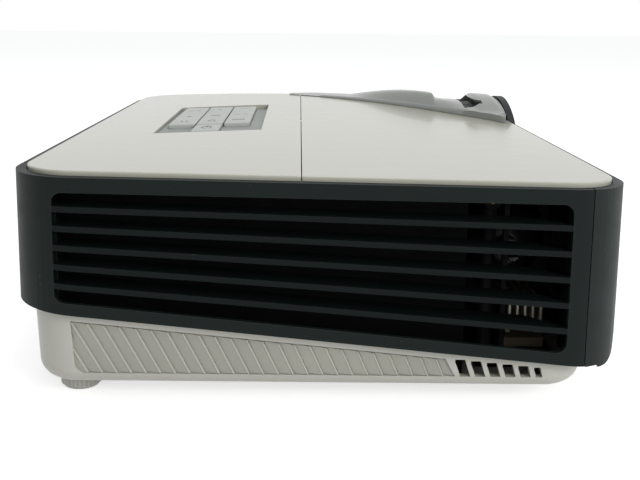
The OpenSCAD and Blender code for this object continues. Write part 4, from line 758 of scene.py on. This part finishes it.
window_red = moulded("window_red", (0.035, 0.004, 0.006), 0.12, coat=0.6, grain=0.02)
moulding("remote_window", "remote_lens", "case", "window_red", window_red)

# ----------------------------------------
# Lamp: a mirrored bowl round a quartz burner, held in a dark heat-proof frame
# with a finned cooler and a tan insulating plate, as seen through the louvres.

lamp_plastic = moulded("lamp_plastic", (0.004, 0.004, 0.0042), 0.6, grain=0.4, shine=0.15)
moulding("lamp_frame", "lamp_carrier", "case", "lamp_plastic", lamp_plastic, 0.0004)
pale_metal = metal("pale_metal", (0.50, 0.47, 0.40), 0.4, brushed=(1, 1, 10), shine=0.6)
moulding("lamp_heatsink", "lamp_cooler", "case", "heatsink_metal", pale_metal, 0.0001)
insulator_tan = moulded("insulator_tan", (0.11, 0.085, 0.06), 0.7, grain=0.6, mottle=0.2)
moulding("lamp_insulator", "insulating_plate", "case", "insulator_tan", insulator_tan)
BOWL_OUT, BOWL_IN, BOWL_NECK, BOWL_HOLE, BOWL_DEEP, BOWL_END = 22.0, 20.0, 5.0, 2.6, 26, -38.0


def bowl_curve(share, start, mouth, neck):
    """The bowl's wall at shares of its depth: the depth follows a parabola, and the radius
    falls evenly from mouth to neck."""
    return [(start - BOWL_DEEP * (1 - (1 - s) ** 2), mouth - (mouth - neck) * s) for s in share]


_, high, middle = box_mm("lamp_reflector")
bowl_mouth = (middle[0], high[1], middle[2])
share = np.linspace(0, 1, 28)[1:]
outside = [(0.0, BOWL_OUT), (-4.0, BOWL_OUT), *bowl_curve(share, -4, BOWL_OUT, BOWL_NECK),
           (BOWL_END, BOWL_NECK)]
mirrored = [*bowl_curve(share[::-1], -2.5, BOWL_IN, BOWL_HOLE), (-2.5, BOWL_IN)]
inside = [(BOWL_END, BOWL_HOLE), *mirrored, (0.0, BOWL_IN)]
bowl_glaze = moulded("bowl_glaze", (0.02, 0.019, 0.018), 0.35, grain=0.3, shine=0.3)
solid("reflector_bowl", "case", "reflector_mirror", bowl_glaze,
      [turned(outside + inside, bowl_mouth, "y", 96, True)], "lamp_reflector", facet=30)
coat = [(d + 0.02, r - 0.02) for d, r in mirrored]
coat += [(d + 0.1, r - 0.1) for d, r in mirrored[::-1]]
solid("reflector_coat", "case", "reflector_mirror",
      metal("mirror", (0.85, 0.85, 0.82), 0.06, grain=0.02),
      [turned(coat, bowl_mouth, "y", 96, True)], facet=30)
bulb = [(-18 + 4.4 * b, max(2.5, 4.6 * math.sqrt(1 - (b * 0.97) ** 2)))
        for b in np.linspace(-1, 1, 15)]
burner = [(-46.0, 0.0), (-46.0, 2.1), (-45.6, 2.5), (-22.4, 2.5), *bulb, (-10.4, 2.5),
          (-10.0, 2.1), (-10.0, 0.0)]
solid("quartz_burner", "case", "lamp_quartz",
      clear_glass("quartz", (0.30, 0.31, 0.33), 0.35, (0.4, 0.4, 0.4)),
      [turned(burner, bowl_mouth, "y", 48)], "lamp_burner", facet=40)
ballast_grey = moulded("ballast_grey", (0.02, 0.02, 0.021), 0.6, grain=0.4, shine=0.3)
moulding("lamp_ballast", "ballast_block", "case", "ballast_grey", ballast_grey, 0.0004)
low, high, _ = box_mm("lamp_frame")
BOSS_IN, HEAD_SUNK = 4, 0.3
screw_head = [(0.4, 0.0), (0.4, 0.35), (0.0, 0.7), (0.0, 1.0), (0.2, 1.15), (1.6, 1.15),
              (1.6, 0.0)]
solid("frame_screw", "case", "insert_brass", metal("brass", (0.55, 0.33, 0.12), 0.35),
      [turned(screw_head, (low[0] + BOSS_IN, low[1] + HEAD_SUNK, high[2] - BOSS_IN), "y", 24)],
      facet=40)

# ----------------------------------------
# Fan: a square frame with three spokes, and a rotor of seven twisted blades
# round a capped hub, moulded in one black plastic.

fan_black = moulded("fan_black", (0.010, 0.010, 0.011), 0.45, grain=0.2, shine=0.3)
moulding("fan_frame", "fan_housing", "case", "fan_black", fan_black)
FAN, BLADES, HUB_RADIUS, BLADE_TIP, HALF_CHORD = (39.4, -113.5, 40.1), 7, 14.0, 27.2, 7.2
BLADES_AHEAD, BLADE_HALF_THICK, BLADE_CAMBER = 9.1, 0.7, 0.9


def fan_blades():
    """Blades as loops round a cambered section. The chord leans further from the axis
    towards the tip, and each blade is the first one turned about the axis."""
    radius = np.linspace(HUB_RADIUS - 0.8, BLADE_TIP, 10)[None, :, None]
    loop = (np.arange(20) * 2 * np.pi / 20)[None, None]
    first = np.arange(BLADES)[:, None, None] * 2 * np.pi / BLADES
    lean = np.radians(44 + 16 * (radius - HUB_RADIUS) / (BLADE_TIP - HUB_RADIUS))
    chord = HALF_CHORD * np.cos(loop)
    camber = BLADE_CAMBER * (1 - (chord / HALF_CHORD) ** 2)
    taper = np.sqrt(np.clip(1 - (chord / 7.6) ** 2, 0.05, 1))
    thick = BLADE_HALF_THICK * np.sin(loop) * taper + camber
    along = chord * np.cos(lean) - thick * np.sin(lean)
    round_it = chord * np.sin(lean) + thick * np.cos(lean)
    x = FAN[0] + BLADES_AHEAD + along + 0 * first
    y = FAN[1] + radius * np.cos(first) - round_it * np.sin(first)
    z = FAN[2] + radius * np.sin(first) + round_it * np.cos(first)
    blades = np.stack([x, y, z], -1)
    caps = np.repeat(blades.mean(2, keepdims=True), 20, 2)
    blades = np.concatenate([caps[:, :1], blades, caps[:, -1:]], 1)
    return [grid_shell(*np.moveaxis(blade, -1, 0)) for blade in blades]


hub = [(3.0, 0.0), (3.0, 12.9), (3.5, 13.6), (4.4, HUB_RADIUS), (14.2, HUB_RADIUS), (14.2, 12.4),
       (5.0, 12.4), (5.0, 0.0)]
solid("fan_rotor_moulding", "fan", "fan_black", fan_black,
      [turned(hub, FAN, "x", 64), *fan_blades()], "fan_rotor", facet=40)

# ----------------------------------------
# Electronics: green boards and a supply on a brown board, with their parts
# soldered on, and the black wall that keeps them from the louvres.


def board_skin(name, colour, level, parts):
    """Solder mask with tracks under it, and above the board's own level the dull colour
    of its parts, with cells of lighter and darker plastic."""
    skin, add, spot = new_skin(name)
    tracks = add("TexVoronoi", Vector=spot, Scale=260.0, distance="MANHATTAN", feature="F1")
    mask = add("MapRange", Value=tracks, From_Min=0.25, From_Max=0.32)
    green = blended(add, mask, tint(colour, 1.6), tint(colour))
    cells = add("TexVoronoi", Vector=spot, Scale=90.0)
    dull = blended(add, cells, tint(parts, 0.5), tint(parts))
    height = add("SeparateXYZ", Vector=spot).outputs["Z"]
    above = add("Math", height, level, operation="GREATER_THAN")
    gloss = add("MapRange", Value=tracks, To_Min=0.3, To_Max=0.55)
    return finished(skin, add, blended(add, above, green, dull), gloss, mask, 0.3)


mask_green, chip_black = (0.015, 0.10, 0.045), (0.03, 0.03, 0.032)
MAIN_LEVEL, SUPPLY_LEVEL, NO_PARTS = 0.0018, 0.0137, 9.0
main_green = board_skin("main_green", mask_green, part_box("main_board")[0][2] + MAIN_LEVEL,
                        chip_black)
key_green = board_skin("key_green", mask_green, NO_PARTS, chip_black)
supply_skin = board_skin("supply_skin", (0.16, 0.10, 0.035),
                         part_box("power_supply")[0][2] + SUPPLY_LEVEL, (0.10, 0.09, 0.05))
# Partly painted shade: the duct wall is black plastic, and its colour is made darker still to
# stand in for the shade inside the case behind the louvres.
inner_black = moulded("inner_black", (0.003, 0.0033, 0.0033), 0.7, grain=0.3, shine=0.1)
for node, name, slot_name, skin, edge in (
        ("main_board", "main_circuit", "circuit_green", main_green, 0.0002),
        ("key_board", "key_circuit", "circuit_green", key_green, 0.0002),
        ("power_supply", "supply_unit", "supply_board", supply_skin, 0.0003),
        ("duct_wall", "duct_moulding", "inner_black", inner_black, 0.0003)):
    moulding(node, name, "case", slot_name, skin, edge)

# ----------------------------------------
# Socket side: a dark grey panel with the mains inlet, plated picture sockets
# and gilt sound sockets, all held by the board's edge.

panel_grey = moulded("panel_grey", (0.045, 0.047, 0.05), 0.5, grain=0.35, shine=0.35)
socket_black = moulded("socket_black", (0.012, 0.012, 0.012), 0.45, grain=0.2, shine=0.35)
plated = metal("plated", (0.55, 0.55, 0.54), 0.25, brushed=(6, 1, 1))
gilt = metal("gilt", (0.72, 0.50, 0.18), 0.25)
for node, name, slot_name, skin, edge in (
        ("rear_panel", "socket_panel", "panel_grey", panel_grey, 0.0003),
        ("power_inlet", "mains_inlet", "socket_black", socket_black, 0.0004),
        ("picture_sockets", "picture_shells", "socket_metal", plated, 0.0002),
        ("sound_sockets", "sound_sleeves", "socket_brass", gilt, 0.0003)):
    moulding(node, name, "case", slot_name, skin, edge)

# ----------------------------------------
# Speakers: closed black boxes, each with a small cone, a rubber surround and a
# dust cap behind the slots at the foot of the tray side.

speaker_black = moulded("speaker_black", (0.014, 0.014, 0.015), 0.6, grain=0.3, shine=0.3)
cone_black = moulded("cone_black", (0.03, 0.03, 0.032), 0.75, grain=0.7, grain_size=0.0003,
                     shine=0.2)
CONE_SUNK = 1.38
cone = [(-3.3, 0.0), (-3.3, 6.7), (0.0, 6.95), (0.0, 14.3), (0.5, 14.2), (0.95, 13.5),
        (1.1, 12.7), (0.9, 11.9), (0.25, 11.3), (0.1, 11.0), (0.05, 7.4), (-2.0, 6.6),
        (-2.6, 6.0), (-1.6, 4.4), (-0.9, 2.4), (-0.6, 0.0)]
for end in ("rear", "front"):
    moulding("speaker_" + end, "speaker_box_" + end, "case", "speaker_black", speaker_black,
             0.0005)
    _, high, middle = box_mm("speaker_" + end)
    spot = (middle[0], high[1] - CONE_SUNK, middle[2])
    solid("cone_" + end, "case", "speaker_black", cone_black, [turned(cone, spot, "y", 64)],
          facet=50)

# ----------------------------------------
# Disc drive: a folded zinc plated case and lid, white runners, a dark tray with
# a sunk disc place, and under it the spindle, the sled, its rods and its screw.

zinc_sheet = metal("zinc_sheet", (0.50, 0.51, 0.52), 0.38, brushed=(1, 12, 1), grain=0.15)
runner_white = moulded("runner_white", (0.68, 0.68, 0.65), 0.35, grain=0.1)
for node, name, slot_name, skin in (
        ("drive_case", "drive_pan", "drive_steel", zinc_sheet),
        ("drive_lid", "drive_cover", "drive_steel", zinc_sheet),
        ("tray_runners", "slide_runners", "runner_white", runner_white)):
    moulding(node, name, "case", slot_name, skin, 0.0002)
tray_black = moulded("tray_black", (0.022, 0.022, 0.025), 0.42, grain=0.3, grain_size=0.0004,
                     shine=0.35)
moulding("disc_tray", "tray_moulding", "disc_tray", "tray_black", tray_black, 0.0004, steps=3,
         facet=25)
moulding("spindle_motor", "spindle_can", "case", "motor_metal", motor_steel)
hub_black = moulded("hub_black", (0.02, 0.02, 0.02), 0.4, grain=0.2)
SPINDLE_X, SPINDLE_Y = -27.3, 90.0
low, high, _ = box_mm("spindle_hub")
foot, crown = low[2], high[2]
clamp = [(foot, 1.6), (foot, 13.5), (foot + 0.5, 14.0), (crown - 2.3, 14.0), (crown - 1.8, 13.6),
         (crown - 1.8, 7.3), (crown - 1.2, 7.3), (crown - 0.2, 6.2), (crown, 5.6), (crown, 0.0),
         (crown - 0.5, 0.0), (crown - 0.5, 1.6)]
solid("disc_clamp", "spindle", "hub_black", hub_black,
      [turned(clamp, (SPINDLE_X, SPINDLE_Y, 0.0), "z", 72, True)], "spindle_hub")
sled_metal = metal("sled_metal", (0.36, 0.36, 0.37), 0.45, grain=0.4, scale=1500.0)
moulding("pickup_sled", "sled_casting", "pickup", "sled_metal", sled_metal)
eye = [(0.0, 0.0), (0.0, 3.4), (0.3, 3.4)]
eye += [(0.3 + 1.0 * (1 - (1 - c) ** 2), 3.2 * (1 - c)) for c in curve]
solid("pickup_lens", "pickup", "lens_glass",
      clear_glass("pickup_glass", (0.8, 0.86, 1.0), 0.04, (0.6, 0.6, 1.0)),
      [turned(eye, (SPINDLE_X, 70.0, box_mm("pickup_sled")[1][2]), "z", 48)], facet=40)
ground_steel = metal("ground_steel", (0.56, 0.56, 0.57), 0.18, brushed=(6, 1, 6), grain=0.05)
moulding("guide_rods", "sled_rods", "case", "rod_steel", ground_steel, 0.0002)


def screw_thread(pitch, depth):
    """A radius that dips by the thread's depth, as a sharp wave of the distance along the
    axis less the turn's share of the pitch."""
    def flute(along, reach, turn):
        phase = np.mod(along / pitch - turn / (2 * np.pi), 1.0)
        return reach - np.where(reach > depth * 2, depth * np.abs(2 * phase - 1) ** 0.8, 0)
    return flute


low, high, middle = box_mm("feed_screw")
rows = np.arange(low[1] + 0.1, high[1] - 0.05, 0.3)
thread = [(rows[0] - 0.1, 0.0), *[(row, 1.8) for row in rows], (rows[-1] + 0.05, 0.0)]
solid("feed_thread", "feed_screw", "rod_steel", ground_steel,
      [turned(thread, (middle[0], 0, middle[2]), "y", 24, flute=screw_thread(3.0, 0.3))],
      "feed_screw", facet=50)

# ----------------------------------------
# Feet: two white fluted wheels on zinc plated screws at the rear corners, and a
# grey leg under the lens that a button in the bezel lets down.

foot_white = moulded("foot_white", (0.52, 0.515, 0.475), 0.35, grain=0.08, shine=0.35)
FLUTES, FLUTE_DEEP = 28, 0.42


def foot_flutes(along, reach, turn):
    """Round grooves cut into the wheel's rim: the radius dips by a narrow cosine."""
    dip = FLUTE_DEEP * np.clip(np.cos(turn * FLUTES), 0, 1) ** 1.5
    return reach - np.where(reach > 7.0, dip, 0)


foot_wheel = [(0.0, 0.0), (0.0, 6.6), (0.25, 7.0), (1.15, 7.1), (1.3, 8.0), (1.6, 8.3), (6.4, 8.3),
              (6.8, 7.95), (6.8, 3.05), (5.55, 3.05), (5.55, 2.05), (1.7, 2.05), (1.7, 0.0)]
for side in ("near", "far"):
    middle = box_mm("foot_wheel_" + side)[2]
    spot = (middle[0], middle[1], 0.0)
    solid("foot_" + side, side + "_foot", "foot_white", foot_white,
          [turned(foot_wheel, spot, "z", FLUTES * 8, flute=foot_flutes)], "foot_wheel_" + side,
          facet=40)
    top = box_mm("foot_screw_" + side)[1][2]
    stud = [(1.8, 0.0), (1.8, 1.9), (1.9, 2.0), (5.6, 2.0)]
    stud += [(row, 3.0) for row in np.arange(5.7, top - 0.05, 0.2)] + [(top, 2.7), (top, 0.0)]
    solid("stud_" + side, side + "_stud", "rod_steel", ground_steel,
          [turned(stud, spot, "z", 32, flute=screw_thread(1.5, 0.28))], "foot_screw_" + side,
          facet=50)
leg_grey = moulded("leg_grey", (0.06, 0.062, 0.064), 0.5, grain=0.3, shine=0.35)
_, high, middle = box_mm("front_leg")
leg = [(0.0, 0.0), (0.0, 8.2), (0.3, 8.7), (0.8, 9.0), (2.8, 9.0), (3.3, 8.6), (3.3, 7.0),
       (high[2] - 0.6, 7.0), (high[2], 6.4), (high[2], 0.0)]
solid("leg_turned", "front_leg", "leg_grey", leg_grey,
      [turned(leg, (middle[0], middle[1], 0.0), "z")], "front_leg")

# ----------------------------------------
# Fasteners in the underside: four sunk case screws with crossed slots, and the
# four brass inserts for a ceiling bracket.


def crossed_slot(along, reach, turn):
    """Inside the head's middle the radius follows a cross with rounded arms."""
    arm = 0.45 + 0.55 * np.abs(np.cos(2 * turn)) ** 3
    return np.where(reach < 1.61, reach * arm, reach)


case_screw = [(9.2, 0.0), (8.8, 1.2), (7.4, 1.6), (7.4, 2.5), (7.8, 2.9), (8.9, 2.9), (8.9, 1.55),
              (17.0, 1.55), (17.0, 0.0)]
heads = [turned(case_screw, (x, y, 0.0), "z", 48, flute=crossed_slot)
         for x in (-79.3, 33.6) for y in (-135.0, 135.0)]
solid("case_screw_set", "case", "screw_zinc", metal("screw_zinc", (0.5, 0.5, 0.5), 0.3), heads,
      "case_screws")
moulding("mount_inserts", "bracket_inserts", "case", "insert_brass",
         metal("insert_brass", (0.58, 0.40, 0.16), 0.35), 0.0002)
